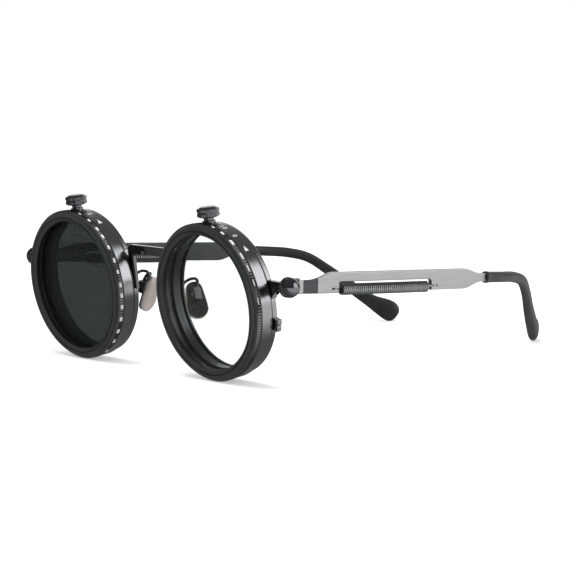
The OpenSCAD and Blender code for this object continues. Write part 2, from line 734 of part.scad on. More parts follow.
// Row of points with one more between each pair, moved out to the curve through its neighbours
function smooth(p) = concat([p[0]], [for (i = [0 : len(p) - 2]) each [
    i == 0 || i == len(p) - 2 ? (p[i] + p[i + 1]) / 2 : (9 * (p[i] + p[i + 1]) - p[i - 1] - p[i + 2]) / 16,
    p[i + 1]
]]);

module pad_arm(side) {
    color_black() difference() {
        on_side(side) front_frame() tube(smooth(pad_route), pad_wire_d, 10, [0, 0, 1]);
        pad_frame(side) cube([box_w + 2 * bond, box_d + 2 * bond, box_h + 2 * bond], center = true);
    }
}

// The pad's box: a small folded box, open towards the nose, that holds the pad's stem
module pad_box(side) {
    slot_to = box_w / 2 - box_wall;
    color_gunmetal() pad_frame(side) difference() {
        cube([box_w, box_d, box_h], center = true);
        translate([slot_to - box_w, -stem_t / 2 - slack, -box_h])
            cube([box_w, stem_t + 2 * slack, 2 * box_h - 0.6 - box_h / 2]);
        rotate([90, 0, 0]) cylinder(d = pad_screw_d + 2 * bond, h = 10, center = true);
    }
}

module pad_screws() {
    color_steel() for (side = [1, -1]) pad_frame(side) rotate([90, 0, 0]) {
        translate([0, 0, -box_d / 2]) cylinder(d = pad_screw_d, h = box_d + 2 * bond);
        translate([0, 0, box_d / 2 + bond]) cylinder(d = pad_screw_d + 0.6, h = 0.35);
    }
}

pad_gap = 0.35;
pad_drop = 1.6;        // how far the pad's middle hangs below its screw
pad_back = 1.3;        // how far it sits behind the screw

// Drop shaped slice of the pad, at a share of its full size
module pad_slice(share) {
    top_r = pad_w / 2 * 0.75 * share;
    low_r = pad_w / 2 * share;
    rotate([0, 90, 0]) linear_extrude(0.02, center = true) hull() {
        translate([top_r - pad_h / 2 * share, 0]) circle(r = top_r, $fn = 24);
        translate([pad_h / 2 * share - low_r, 0]) circle(r = low_r, $fn = 28);
    }
}

// The nose pad: a soft drop on a flat stem that rocks on the box's screw
module nose_pad(side) {
    pad_x = -box_w / 2 - pad_gap - pad_t / 2;
    color([0.8, 0.78, 0.76, 0.8]) pad_frame(side) {
        translate([pad_x, pad_back, -pad_drop]) hull() for (a = [-80 : 20 : 80])
            translate([sin(a) * pad_t / 2, 0, 0]) pad_slice(0.62 + 0.38 * cos(a));
        rotate([90, 0, 0]) difference() {
            translate([0, 0, -stem_t / 2]) union() {
                cylinder(r = boss_r, h = stem_t);
                translate([pad_x + pad_t / 2 - 0.3, -boss_r, 0]) cube([-pad_x - pad_t / 2 + 0.3, 2 * boss_r, stem_t]);
            }
            cylinder(d = pad_screw_d + 2 * fit, h = 10, center = true);
        }
    }
}

SIDED = ["front_bezel", "dial_ring", "front_lens", "body_ring", "snap_ring", "knob_bush", "lock_knob",
    "rear_rim", "rear_lens", "endpiece", "cap_nut", "hinge_front", "hinge_rear", "hinge_rivets",
    "temple_blade", "temple_spring", "temple_core", "temple_tip", "tip_collar", "pad_arm", "pad_box",
    "nose_pad"];

bridge();
rim_screws();
hinge_screws();
pad_screws();
for (side = [1, -1]) {
    s = side > 0 ? "left_" : "right_";
    front_bezel(side);
    dial_ring(side);
    front_lens(side);
    body_ring(side);
    snap_ring(side);
    knob_bush(side);
    lock_knob(side);
    rear_rim(side);
    rear_lens(side);
    endpiece(side);
    cap_nut(side);
    hinge_front(side);
    hinge_rear(side);
    hinge_rivets(side);
    temple_blade(side);
    temple_spring(side);
    temple_core(side);
    temple_tip(side);
    tip_collar(side);
    pad_arm(side);
    pad_box(side);
    nose_pad(side);
}
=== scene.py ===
import json
import math
import bpy
import bmesh
import numpy as np
from mathutils import Matrix


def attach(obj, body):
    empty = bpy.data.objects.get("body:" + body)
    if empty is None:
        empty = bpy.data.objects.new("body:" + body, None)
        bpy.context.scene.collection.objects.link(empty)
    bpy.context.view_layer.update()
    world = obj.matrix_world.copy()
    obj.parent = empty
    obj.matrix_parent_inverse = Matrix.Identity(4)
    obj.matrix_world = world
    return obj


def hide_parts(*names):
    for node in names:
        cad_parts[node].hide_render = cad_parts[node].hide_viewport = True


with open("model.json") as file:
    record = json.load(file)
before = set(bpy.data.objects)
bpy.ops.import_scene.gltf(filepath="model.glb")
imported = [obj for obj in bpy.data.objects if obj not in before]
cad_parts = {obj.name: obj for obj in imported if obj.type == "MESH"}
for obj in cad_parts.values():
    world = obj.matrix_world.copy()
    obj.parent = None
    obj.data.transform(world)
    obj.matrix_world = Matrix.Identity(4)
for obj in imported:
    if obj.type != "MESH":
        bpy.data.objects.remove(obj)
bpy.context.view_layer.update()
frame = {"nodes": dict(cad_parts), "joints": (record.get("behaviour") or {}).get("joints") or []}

mm = 0.001               # pieces are worked out in millimetres and become metres in their meshes
joints = {joint["name"]: joint for joint in frame["joints"]}
nodes = frame["nodes"]


# Places: a frame is an origin and three axes in rows (across or outward, back or along, up)

def unitRows(rows):
    return rows / np.linalg.norm(rows, axis=-1, keepdims=True)


def jointAt(name):
    # a joint's point in millimetres and its axis
    return np.array(joints[name]["pos_m"]) / mm, unitRows(np.array(joints[name]["axis"], float))


def turnMatrix(axis, degrees):
    # a turn about x, y or z: the cosine for the two other axes, and the sine and its negative between them
    i = ("xyz".index(axis) + 1) % 3
    j = (i + 1) % 3
    turn = np.eye(3)
    turn[i, i] = turn[j, j] = math.cos(math.radians(degrees))
    turn[j, i] = math.sin(math.radians(degrees))
    turn[i, j] = -turn[j, i]
    return turn


ringCentre, outOfFace = jointAt("left_dial_turn")
ringUp = jointAt("left_knob_turn")[1]
hingePoint, hingePin = jointAt("left_temple_fold")
padScrew = jointAt("left_pad_rock")[0]

frontAxes = np.array([np.cross(ringUp, outOfFace), -outOfFace, ringUp])
halfSpacing = ringCentre[0]
leftRing = (ringCentre, frontAxes)
frontFrame = (ringCentre - halfSpacing * frontAxes[0], frontAxes)

fall = math.acos(hingePin[2])
splay = math.atan2(-hingePin[0], hingePin[1])
templeFrame = (hingePoint, np.array([
    [math.cos(splay), math.sin(splay), 0],
    [-math.sin(splay) * math.cos(fall), math.cos(splay) * math.cos(fall), -math.sin(fall)],
    hingePin]))

padTurn = dict(lean=-20, turn=-9)            # degrees about the depth axis and the across axis
padFrame = (padScrew, (turnMatrix("y", padTurn["lean"]) @ turnMatrix("x", padTurn["turn"])).T @ frontAxes)


def placed(shell, place):
    # a shell's points, given along a frame's axes, moved to the object's own frame
    return dict(shell, points=place[0] + shell["points"] @ place[1])


def mirrored(shell, side):
    return shell if side > 0 else dict(shell, points=shell["points"] * [-1, 1, 1])


def rearranged(shell, order, flips=1, by=0):
    # a shell's points with their coordinates in another order, some turned round, and moved
    return dict(shell, points=shell["points"][:, order] * flips + by)


# Shapes: a shell is a dictionary of points, quads with their lengths, caps and finish numbers

def alongLength(points, closed=False):
    # running length along a row of points, with one more value where the row closes
    run = np.vstack([points, points[:1]]) if closed else points
    return np.concatenate([[0], np.cumsum(np.linalg.norm(np.diff(run, axis=0), axis=1))])


def gridShell(points, rowAt, colAt, closeRows=False, closeCols=False, capRows=False, marks=0):
    # point (i, j) of a grid is joined to (i+1, j), (i+1, j+1) and (i, j+1), round again where it closes;
    # the marks are finish numbers for the whole grid, for each column or for each row
    rows, cols = points.shape[:2]
    i, j = np.meshgrid(np.arange(rows if closeRows else rows - 1),
                       np.arange(cols if closeCols else cols - 1), indexing="ij")
    i, j = i.ravel(), j.ravel()
    nextI, nextJ = (i + 1) % rows, (j + 1) % cols
    quads = np.stack([i * cols + j, nextI * cols + j, nextI * cols + nextJ, i * cols + nextJ], 1)
    lengths = np.stack([np.stack([rowAt[i + down], colAt[j + across]], 1)
                        for down, across in ((0, 0), (1, 0), (1, 1), (0, 1))], 1)
    caps = [list(range(cols)), list(range((rows - 1) * cols, rows * cols))] if capRows else []
    return dict(points=points.reshape(-1, 3), quads=quads, lengths=lengths, caps=caps,
                marks=np.broadcast_to(marks, (rows, cols))[i, j])


def joined(shells):
    # several shells as one, each keeping its own points
    at = np.concatenate([[0], np.cumsum([len(s["points"]) for s in shells])])
    return dict(
        points=np.vstack([s["points"] for s in shells]),
        quads=np.vstack([s["quads"] + a for s, a in zip(shells, at)]),
        lengths=np.vstack([s["lengths"] for s in shells]),
        caps=[[int(k + a) for k in cap] for s, a in zip(shells, at) for cap in s["caps"]],
        marks=np.concatenate([s["marks"] for s in shells]))


def softCorners(points, cut, steps=3, closed=True):
    # each corner becomes a quadratic curve from a cut before it to a cut after it, held by a point each side
    p = np.asarray(points, float)
    before, after = np.roll(p, 1, 0) - p, np.roll(p, -1, 0) - p
    size = np.minimum(np.linalg.norm(before, axis=1), np.linalg.norm(after, axis=1))
    c = np.minimum(np.broadcast_to(cut, len(p)), 0.3 * size)[:, None]
    start, end = unitRows(before) * c, unitRows(after) * c
    t = np.linspace(0, 1, steps + 1)[:, None, None]
    curve = (1 - t) ** 2 * start + t ** 2 * end
    rows = p + np.concatenate([1.6 * start[None], curve, 1.6 * end[None]])
    out = rows.transpose(1, 0, 2).reshape(-1, p.shape[1])
    if closed:
        return out
    k = steps + 3
    return np.vstack([p[:1], out[k:-k], p[-1:]])


def insideMarks(profile, limit):
    # 1 for every face of a profile that starts or ends nearer to the axis than a limit
    r = profile[:, 0]
    return (np.minimum(r, np.roll(r, -1)) < limit).astype(int)


def carriedRound(profile, angles, tooth):
    # (radius, depth) carried round the depth axis: x = r sin a, z = r cos a, with tooth(angle, r) cut off r
    a = angles[:, None]
    r = profile[None, :, 0] - (tooth(a, profile[None, :, 0]) if tooth else 0 * a)
    return np.stack([r * np.sin(a), np.broadcast_to(profile[:, 1], r.shape), r * np.cos(a)], -1)


def turnedShell(profile, segments, closed=True, tooth=None, inside=0.0):
    # a profile carried round a whole turn, its seam at the bottom
    angles = np.radians(180.0 + 360 * np.arange(segments) / segments)
    around = np.arange(segments + 1) * 2 * math.pi * profile[:, 0].max() / segments
    return gridShell(carriedRound(profile, angles, tooth), around, alongLength(profile, closed),
                     closeRows=True, closeCols=closed, marks=insideMarks(profile, inside))


def arcShell(profile, fromDeg, toDeg, segments, tooth=None, inside=0.0):
    # a profile carried along part of a turn, with flat ends
    angles = np.radians(np.linspace(fromDeg, toDeg, segments))
    along = angles * profile[:, 0].max()
    return gridShell(carriedRound(profile, angles, tooth), along, alongLength(profile, True), closeCols=True,
                     capRows=True, marks=insideMarks(profile, inside))


def knurl(teeth, depth, crest):
    # straight teeth: a triangle wave of the angle, cut into the points within a hair of the crest radius
    def cut(a, r):
        share = a / (2 * math.pi) * teeth % 1
        return depth * (1 - np.abs(2 * share - 1)) * (np.abs(r - crest) < 0.011)
    return cut


def turnedPiece(piece):
    # a closed section of (radius, depth) points, its corners softened, with teeth in its crest if it has any
    profile = softCorners(piece["section"], piece["soft"], piece.get("steps", 3))
    tooth = knurl(piece["teeth"], piece["toothDepth"], piece["crest"]) if "teeth" in piece else None
    return turnedShell(profile, piece["segments"], tooth=tooth, inside=piece.get("darkWithin", 0))


def domedPiece(piece):
    # an open section from the axis out, brought back to it by part of an ellipse, with teeth in its crest
    angles = np.linspace(piece["domeFrom"], math.pi / 2, piece["domeSteps"])
    dome = np.stack([piece["domeRadius"] * np.cos(angles),
                     piece["domeAt"] + piece["domeHeight"] * np.sin(angles)], 1)
    section = np.vstack([piece["section"], dome])
    profile = softCorners(section, piece["soft"] + [0] * len(dome), 2, closed=False)
    tooth = knurl(piece["teeth"], piece["toothDepth"], piece["crest"])
    return turnedShell(profile, 288, closed=False, tooth=tooth)


def inwardMitre(outline):
    # the step inwards that moves both sides of each corner by one, on an outline run anticlockwise
    before = unitRows(outline - np.roll(outline, 1, 0))
    after = unitRows(np.roll(outline, -1, 0) - outline)
    left = np.stack([-before[:, 1], before[:, 0]], 1)
    mitre = left + np.stack([-after[:, 1], after[:, 0]], 1)
    mitre = mitre / np.maximum(np.sum(mitre * left, axis=1, keepdims=True), 0.3)
    return mitre


def plateShell(outline, front, back, edge, steps=3):
    # an outline (across, up) carried from one depth to the other, its rims rounded by quarter circles
    o = np.asarray(outline, float)
    area = np.sum(o[:, 0] * np.roll(o[:, 1], -1) - np.roll(o[:, 0], -1) * o[:, 1])
    o = o if area > 0 else o[::-1]
    t = np.linspace(0, math.pi / 2, steps + 1)
    inset = np.concatenate([[1.3 * edge], edge * (1 - np.sin(t)), [0]])
    depth = np.concatenate([[0], edge * (1 - np.cos(t)), [min(1.5 * edge, (back - front) / 2)]])
    inset = np.concatenate([inset, inset[::-1]])[:, None, None]
    depth = np.concatenate([front + depth, back - depth[::-1]])
    flat = o[None] + inset * inwardMitre(o)[None]
    points = np.stack([flat[..., 0], np.broadcast_to(depth[:, None], flat.shape[:2]), flat[..., 1]], -1)
    return gridShell(points, depth, alongLength(o, True), closeCols=True, capRows=True)


def carriedSides(tangents, first):
    # side vectors that follow a path's tangents without twisting
    sides = [first]
    for tangent in tangents:
        side = sides[-1] - np.dot(sides[-1], tangent) * tangent
        sides.append(side / np.linalg.norm(side))
    return np.array(sides[1:])


def tubeShell(path, radius, sides=14, first=(0, 0, 1)):
    # a circle carried square to a path; the radius may change along it
    tangents = unitRows(np.gradient(path, axis=0))
    side = carriedSides(tangents, np.array(first, float))[:, None]
    other = np.cross(tangents[:, None], side)
    a = 2 * math.pi * np.arange(sides)[None, :, None] / sides
    r = np.broadcast_to(radius, len(path))[:, None, None]
    points = path[:, None] + r * (np.cos(a) * side + np.sin(a) * other)
    around = np.arange(sides + 1) * 2 * math.pi * np.max(radius) / sides
    return gridShell(points, alongLength(path), around, closeCols=True, capRows=True)


def roundedEnds(path, radius, steps=4):
    # a path with its ends drawn to a dome: more points past each end and their radii, like a quarter circle
    t = np.linspace(0, math.pi / 2, steps + 1)[1:]
    head, tail = unitRows(path[0] - path[1]), unitRows(path[-1] - path[-2])
    r = np.broadcast_to(radius, len(path))
    before = path[0] + head * (np.sin(t)[::-1, None] * r[0])
    after = path[-1] + tail * (np.sin(t)[:, None] * r[-1])
    small = np.maximum(np.cos(t), 0.08)
    return np.vstack([before, path, after]), np.concatenate([small[::-1] * r[0], r, small * r[-1]])


def splinePath(points, steps):
    # a Catmull-Rom curve through a row of points, each stretch a cubic of its four neighbours
    p = np.asarray(points, float)
    p = np.vstack([2 * p[0] - p[1], p, 2 * p[-1] - p[-2]])
    t = np.linspace(0, 1, steps, endpoint=False)[None, :, None]
    a, b, c, d = (p[k:len(p) - 3 + k][:, None] for k in range(4))
    curve = 0.5 * (2 * b + (c - a) * t + (2 * a - 5 * b + 4 * c - d) * t ** 2
                   + (3 * b - a - 3 * c + d) * t ** 3)
    return np.vstack([curve.reshape(-1, p.shape[1]), p[-2:-1]])


def ease(u, fromU, toU, low, high):
    # a half wave from one value to the other
    share = np.clip((u - fromU) / (toU - fromU), 0, 1)
    return low + (high - low) * (1 - np.cos(math.pi * share)) / 2


# Pieces: a shell becomes a closed mesh that rides on its body

usualSharp = 40          # degrees between two faces from which their edge is drawn sharp


def linked(name, data):
    holder = bpy.data.objects.new(name, data)
    bpy.context.scene.collection.objects.link(holder)
    return holder


def evaluatedMesh(holder):
    # what an object's modifiers, or the outlines of its text, come to
    bpy.context.view_layer.update()
    return bpy.data.meshes.new_from_object(holder.evaluated_get(bpy.context.evaluated_depsgraph_get()))


def shellMesh(name, shell):
    mesh = bpy.data.meshes.new(name)
    mesh.from_pydata((shell["points"] * mm).tolist(), [], shell["quads"].tolist() + shell["caps"])
    return mesh


def closeMesh(mesh):
    # poles and seams are merged, and faces turned outwards
    shape = bmesh.new()
    shape.from_mesh(mesh)
    bmesh.ops.remove_doubles(shape, verts=shape.verts, dist=2e-6)
    bmesh.ops.dissolve_degenerate(shape, edges=shape.edges, dist=1e-7)
    bmesh.ops.recalc_face_normals(shape, faces=shape.faces)
    shape.to_mesh(mesh)
    shape.free()
    mesh.update()


def makePiece(name, shell, finishes, body, slot, replaces=(), sharp=usualSharp):
    # the shell's lengths become a UV map, its marks the numbers of the finishes
    mesh = shellMesh(name, shell)
    capCorners = sum(len(cap) for cap in shell["caps"])
    lengths = np.concatenate([shell["lengths"].ravel(), np.zeros(2 * capCorners)])
    mesh.uv_layers.new(name="lengths").data.foreach_set("uv", lengths)
    numbers = np.concatenate([shell["marks"], np.zeros(len(shell["caps"]), int)])
    mesh.polygons.foreach_set("material_index", numbers)
    for finish in finishes:
        mesh.materials.append(finish)
    closeMesh(mesh)
    mesh.shade_smooth()
    mesh.set_sharp_from_angle(angle=math.radians(sharp))
    piece = linked(name, mesh)
    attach(piece, body)
    if replaces:
        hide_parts(*replaces)
    return piece


def cutAway(piece, tools):
    # the tools' shapes are taken out of a piece, and the result becomes its mesh
    for tool in tools:
        cutter = shellMesh("cutter", tool)
        closeMesh(cutter)
        holder = linked("cutter", cutter)
        step = piece.modifiers.new("cut", "BOOLEAN")
        step.operation, step.solver, step.object = "DIFFERENCE", "EXACT", holder
        done = evaluatedMesh(piece)
        piece.modifiers.clear()
        piece.data = done
        bpy.data.objects.remove(holder)
    piece.data.set_sharp_from_angle(angle=math.radians(usualSharp))


# Finishes

def nodeMaterial(name):
    finish = bpy.data.materials.new(name)
    finish.use_nodes = True
    tree = finish.node_tree
    return finish, tree, tree.nodes["Principled BSDF"]


def feed(tree, node, inputs):
    # an input is linked where it is given another node's output, and set where it is given a value
    for key, value in inputs.items():
        if isinstance(value, bpy.types.NodeSocket):
            tree.links.new(value, node.inputs[key])
        else:
            node.inputs[key].default_value = value
    return node


def addNode(tree, kind, inputs, operation=None):
    node = tree.nodes.new("ShaderNode" + kind)
    if operation:
        node.operation = operation
    return feed(tree, node, inputs)


def addValues(tree, first, second):
    return addNode(tree, "Math", {0: first, 1: second}, "ADD").outputs["Value"]


def mixedShader(tree, share, first, second):
    return addNode(tree, "MixShader", {"Fac": share, 1: first, 2: second}).outputs["Shader"]


def mixedColour(tree, share, first, second):
    mix = addNode(tree, "Mix", {})
    mix.data_type = "RGBA"
    return feed(tree, mix, {0: share, 6: (*first, 1), 7: (*second, 1)}).outputs[2]


def scaledCoordinates(tree, source, scale):
    # Object or UV coordinates, stretched by a Mapping node: by one number, or by three
    place = addNode(tree, "TexCoord", {}).outputs[source]
    scales = scale if isinstance(scale, tuple) else (scale,) * 3
    return addNode(tree, "Mapping", {"Vector": place, "Scale": scales}).outputs["Vector"]


def noiseHeight(tree, vector, scale, detail=3.0, roughness=0.55):
    inputs = {"Vector": vector, "Scale": scale, "Detail": detail, "Roughness": roughness}
    return addNode(tree, "TexNoise", inputs).outputs["Fac"]


def spread(tree, value, low, high, fromLow=0.3, fromHigh=0.7, smooth=False):
    # a value between two bounds, spread from a low result to a high one
    step = addNode(tree, "MapRange", {"Value": value, "From Min": fromLow, "From Max": fromHigh,
                                      "To Min": low, "To Max": high})
    step.interpolation_type = "SMOOTHSTEP" if smooth else "LINEAR"
    return step.outputs["Result"]


def bumpedNormal(tree, height, strength, distance):
    inputs = {"Height": height, "Strength": strength, "Distance": distance}
    return addNode(tree, "Bump", inputs).outputs["Normal"]


metalGrain, softGrain = 0.00002, 0.00004     # heights of the bumps in metres


def metalFinish(name, dark, light, metallic, rough, streaks, grain, bump,
                anisotropic=0.0, coat=0.0, source="Object"):
    # streaks vary colour and roughness, a finer grain makes the bump
    finish, tree, shader = nodeMaterial(name)
    streak = noiseHeight(tree, scaledCoordinates(tree, source, streaks), 1.0, 4.0)
    fine = noiseHeight(tree, scaledCoordinates(tree, source, grain), 1.0, 2.0, 0.6)
    feed(tree, shader, {
        "Base Color": mixedColour(tree, spread(tree, streak, 0, 1), dark, light),
        "Roughness": spread(tree, streak, *rough), "Metallic": metallic, "Anisotropic": anisotropic,
        "Coat Weight": coat, "Coat Roughness": 0.12, "Normal": bumpedNormal(tree, fine, bump, metalGrain)})
    return finish


def softFinish(name, dark, light, rough, grainScale, bump, subsurface=0.0, coat=0.0, sheen=0.0):
    # a moulded surface: slow clouds of colour under an even fine grain
    finish, tree, shader = nodeMaterial(name)
    clouds = noiseHeight(tree, scaledCoordinates(tree, "Object", 1), 180.0)
    grain = noiseHeight(tree, scaledCoordinates(tree, "Object", 1), grainScale, 2.0)
    feed(tree, shader, {
        "Base Color": mixedColour(tree, spread(tree, clouds, 0, 1), dark, light),
        "Roughness": spread(tree, grain, *rough), "Subsurface Weight": subsurface, "Subsurface Scale": 0.002,
        "Coat Weight": coat, "Sheen Weight": sheen, "Normal": bumpedNormal(tree, grain, bump, softGrain)})
    return finish


def glassFinish(name, tint, ior, body=0.0):
    # tinted air with a gloss that grows to the rim of sight, and a share of body colour, neither in shadows
    finish, tree, shader = nodeMaterial(name)
    smears = noiseHeight(tree, scaledCoordinates(tree, "Object", (60, 60, 140)), 1.0)
    feed(tree, shader, {
        "Base Color": (0.05, 0.052, 0.052, 1) if body else (0.9, 0.9, 0.9, 1),
        "Metallic": 0.0 if body else 1.0, "Roughness": spread(tree, smears, 0.01, 0.06, 0.4, 0.9)})
    air = addNode(tree, "BsdfTransparent", {"Color": (*tint, 1)})
    edge = addNode(tree, "Fresnel", {"IOR": ior})
    path = addNode(tree, "LightPath", {})
    share = addValues(tree, edge.outputs["Fac"], body)
    lit = addNode(tree, "Math", {0: share, 1: path.outputs["Is Shadow Ray"]}, "SUBTRACT")
    lit.use_clamp = True
    mix = mixedShader(tree, lit.outputs["Value"], air.outputs["BSDF"], shader.outputs["BSDF"])
    feed(tree, tree.nodes["Material Output"], {"Surface": mix})
    return finish


around = (0.25, 9, 1)          # stretch of a turned piece's lengths: slow round it, fast across it
brushed, brushedFine = (900, 60, 2400), (2500, 60, 6000)         # streaks that run along a temple
satinBlack = metalFinish(
    "satinBlack", (0.044, 0.044, 0.046), (0.068, 0.068, 0.07), 0.35, (0.3, 0.42), 40, 2600, 0.3)
# the bezel's bore wall: near black, darker than its own satin black, painted shade for the shadow that falls
# inside the bore
borePaintedShade = metalFinish("borePaintedShade", (0.01, 0.01, 0.011), (0.02, 0.02, 0.021), 0.2, (0.4, 0.5), 60, 2000, 0.2)
innerGrey = metalFinish(
    "innerGrey", (0.075, 0.075, 0.078), (0.13, 0.13, 0.134), 0.6, (0.24, 0.36), 60, 2000, 0.2)
dialGunmetal = metalFinish(
    "dialGunmetal", (0.085, 0.085, 0.088), (0.145, 0.145, 0.148), 1.0, (0.22, 0.32),
    around, (3, 30, 1), 0.25, source="UV")
bodyGunmetal = metalFinish(
    "bodyGunmetal", (0.26, 0.26, 0.265), (0.37, 0.37, 0.375), 1.0, (0.16, 0.26),
    around, (0.8, 40, 1), 0.35, anisotropic=0.4, source="UV")
blackChrome = metalFinish(
    "blackChrome", (0.12, 0.12, 0.125), (0.19, 0.19, 0.195), 1.0, (0.08, 0.16), 160, 900, 0.06, coat=0.15)
bladeSteel = metalFinish(
    "bladeSteel", (0.34, 0.34, 0.345), (0.43, 0.43, 0.435), 1.0, (0.3, 0.4),
    brushed, brushedFine, 0.25, anisotropic=0.35)
# the blade's front facet: brushed steel made darker, a painted dark reflection of the facet
neckPaintedReflection = metalFinish(
    "neckPaintedReflection", (0.05, 0.05, 0.053), (0.085, 0.085, 0.088), 0.9, (0.3, 0.42),
    brushed, brushedFine, 0.3, anisotropic=0.35)
bladeInner = metalFinish(
    "bladeInner", (0.05, 0.05, 0.052), (0.08, 0.08, 0.082), 1.0, (0.26, 0.38), brushed, brushedFine, 0.2)
springSteel = metalFinish(
    "springSteel", (0.24, 0.24, 0.243), (0.34, 0.34, 0.343), 1.0, (0.16, 0.26), 600, 2400, 0.12)
smallSteel = metalFinish(
    "smallSteel", (0.42, 0.42, 0.43), (0.55, 0.55, 0.56), 1.0, (0.2, 0.34), 500, 2200, 0.2)
hingeGunmetal = metalFinish(
    "hingeGunmetal", (0.1, 0.1, 0.105), (0.16, 0.16, 0.165), 1.0, (0.22, 0.34), 500, 2000, 0.2)
tipRubber = softFinish(
    "tipRubber", (0.015, 0.015, 0.016), (0.026, 0.026, 0.028), (0.4, 0.52), 2600.0, 0.4, sheen=0.04)
padSilicone = softFinish(
    "padSilicone", (0.5, 0.45, 0.42), (0.62, 0.57, 0.53), (0.26, 0.38), 1500.0, 0.12,
    subsurface=0.35, coat=0.2)
# the dark of the pad's box, and of the plate on the pad's back, which is painted shade for the pad's shaded
# outer side
padDarkAndPaintedShade = softFinish(
    "padDarkAndPaintedShade", (0.04, 0.038, 0.038), (0.062, 0.06, 0.06), (0.2, 0.32), 1800.0, 0.15, coat=0.3)
markPaint = softFinish("markPaint", (0.82, 0.82, 0.8), (0.9, 0.9, 0.89), (0.4, 0.55), 3000.0, 0.2)
clearGlass = glassFinish("clearGlass", (0.958, 0.96, 0.96), 1.14)
tintGlass = glassFinish("tintGlass", (0.485, 0.495, 0.491), 1.14, 0.2)
print("finishes made")


# Rings: a section's points are radii from the ring's axis and depths back from its front face. Faces nearer to
# the axis than darkWithin have a piece's second finish

ringSegments = 720

# a flat face with one groove, a cone down to the bore, and a lower neck behind the edge
bezel = dict(
    section=[(23.43, 1.3), (23.43, -0.11), (24.3, -0.11), (24.3, -0.33), (25.1, -0.33), (25.1, -0.6),
             (24.8, -0.9), (23.85, -0.9), (23.81, -0.4), (23.44, -0.4), (23.4, -0.9), (23.1, -0.9), (22.2, 0),
             (22.2, 1.3)],
    # faces within darkWithin, the bore wall, get the painted shade of the bore
    soft=0.07, segments=256, darkWithin=22.26)

# a cone up to the knurled crest, a slope behind it, and the spigot with a shelf inside it
dial = dict(
    section=[(23.45, -0.1), (24.9, -0.1), (26, 0.36), (26, 1.88), (25.75, 2.12), (24.55, 2.12), (24.55, 5.9),
             (22.4, 5.9), (22.4, 4.3), (23.45, 4.3)],
    soft=[0.05, 0.05, 0, 0, 0.05, 0.05, 0.05, 0.05, 0.05, 0.05], steps=2, segments=ringSegments,
    teeth=180, toothDepth=0.22, crest=26, darkWithin=25.5)

# a plain band with sloping edges, a neck behind it, and a shelf inside
bodyRing = dict(
    section=[(24.6, 2.34), (25.75, 2.34), (25.85, 2.44), (25.85, 6.22), (25.57, 6.5), (24.2, 6.5), (24.2, 7.3),
             (22.5, 7.3), (22.5, 6), (24.6, 6)],
    soft=0.06, segments=320, radius=25.85, darkWithin=24.9)


rearRim = dict(
    section=[(24.23, 7), (25.02, 7), (25.2, 7.18), (25.2, 8.85), (25, 9.05), (22.5, 9.05), (22.5, 8.3),
             (24.23, 8.3)],
    soft=[0.06, 0.05, 0, 0, 0.05, 0.1, 0.05, 0.05], outer=25.2, slit=0.14, darkWithin=24.33,
    hatchTeeth=240, hatchDepth=0.12, hatchAt=10, hatchCosine=0.35,
    blockAngle=104, blockHeight=4.1, blockFrom=24.7, blockTo=27.6, blockFront=7.1, blockBack=8.95,
    blockEdge=0.18, blockCorner=0.35)


def rimShell():
    # a section carried from side to side of the slit, hatched near the top, and the closing block's halves
    r = rearRim
    slitAngle = math.degrees(r["slit"] / 2 / r["outer"])
    hatch = knurl(r["hatchTeeth"], r["hatchDepth"], r["outer"])

    def topHatch(a, radius):
        return hatch(a, radius) * (np.cos(a - math.radians(r["hatchAt"])) > r["hatchCosine"])

    shells = [arcShell(softCorners(r["section"], r["soft"], 2), r["blockAngle"] + slitAngle,
                       r["blockAngle"] + 360 - slitAngle, ringSegments, topHatch, r["darkWithin"])]
    near, far = r["blockFrom"], r["blockTo"]
    for up in (1, -1):
        low, high = up * r["slit"] / 2, up * r["blockHeight"] / 2
        outline = softCorners([(near, low), (far, low), (far, high), (near, high)], r["blockCorner"])
        half = plateShell(outline, r["blockFront"], r["blockBack"], r["blockEdge"])
        shells.append(dict(half, points=half["points"] @ turnMatrix("y", r["blockAngle"] - 90).T))
    return joined(shells)


# Marks: each dash is an angle from the top, a width along the depth and a length along the knurl

marks = dict(
    depth=1.2, radius=26.05, sunk=0.3, triangleDepth=4.35, triangleWidth=1.5, triangleLength=2.1, point=0.06,
    triangleRadius=25.88, triangleSunk=0.08, numeralHeight=1.7, numeralThick=0.04, numeralSunk=0.01,
    left=dict(
        dashes=[(15, 0.55, 1.3), (25.5, 0.72, 1.6), (37, 0.9, 2.1), (50, 0.64, 2.3), (60, 0.44, 2.2),
                (71, 0.32, 2.1), (84, 0.28, 2.2)],
        triangle=44.5, numerals=[("1", 16), ("0", 19.5), ("0", 31)]),
    right=dict(
        dashes=[(15, 0.5, 1.3), (27, 0.7, 1.4), (38, 0.8, 1.5), (46, 0.85, 1.5), (56, 0.85, 1.45),
                (67, 0.8, 1.5), (76, 0.8, 1.4), (86, 0.88, 1.5), (94, 0.9, 1.45), (103, 0.95, 1.45),
                (113, 1.0, 1.5), (124, 0.95, 1.5), (135, 0.8, 1.5), (149, 0.7, 1.5)],
        triangle=30.5, numerals=[("0", 18)]))


def ringPatch(angle, length, depth, reach, inner, outer):
    # a thin plate bent on a ring; along its angles it reaches before and behind its depth
    half = math.degrees(length / 2 / outer)
    degrees = np.linspace(angle - half, angle + half, len(reach))
    a = np.radians(degrees)[:, None]
    r = np.array([inner, outer, outer, inner])[None]
    depths = depth + reach[:, None] * np.array([-1, -1, 1, 1])
    points = np.stack([r * np.sin(a), depths, r * np.cos(a)], -1)
    return gridShell(points, degrees, np.arange(5.0), closeCols=True, capRows=True)


def dashShell(dashes):
    depth, outer = marks["depth"], marks["radius"]
    return joined([ringPatch(angle, length, depth, np.full(12, width / 2), outer - marks["sunk"], outer)
                   for angle, width, length in dashes])


def triangleShell(angle):
    # an index mark that narrows to a point towards the knob
    m = marks
    reach = m["triangleWidth"] / 2 * np.linspace(m["point"], 1, 10)
    return ringPatch(angle, m["triangleLength"], m["triangleDepth"], reach,
                     m["triangleRadius"] - m["triangleSunk"], m["triangleRadius"])


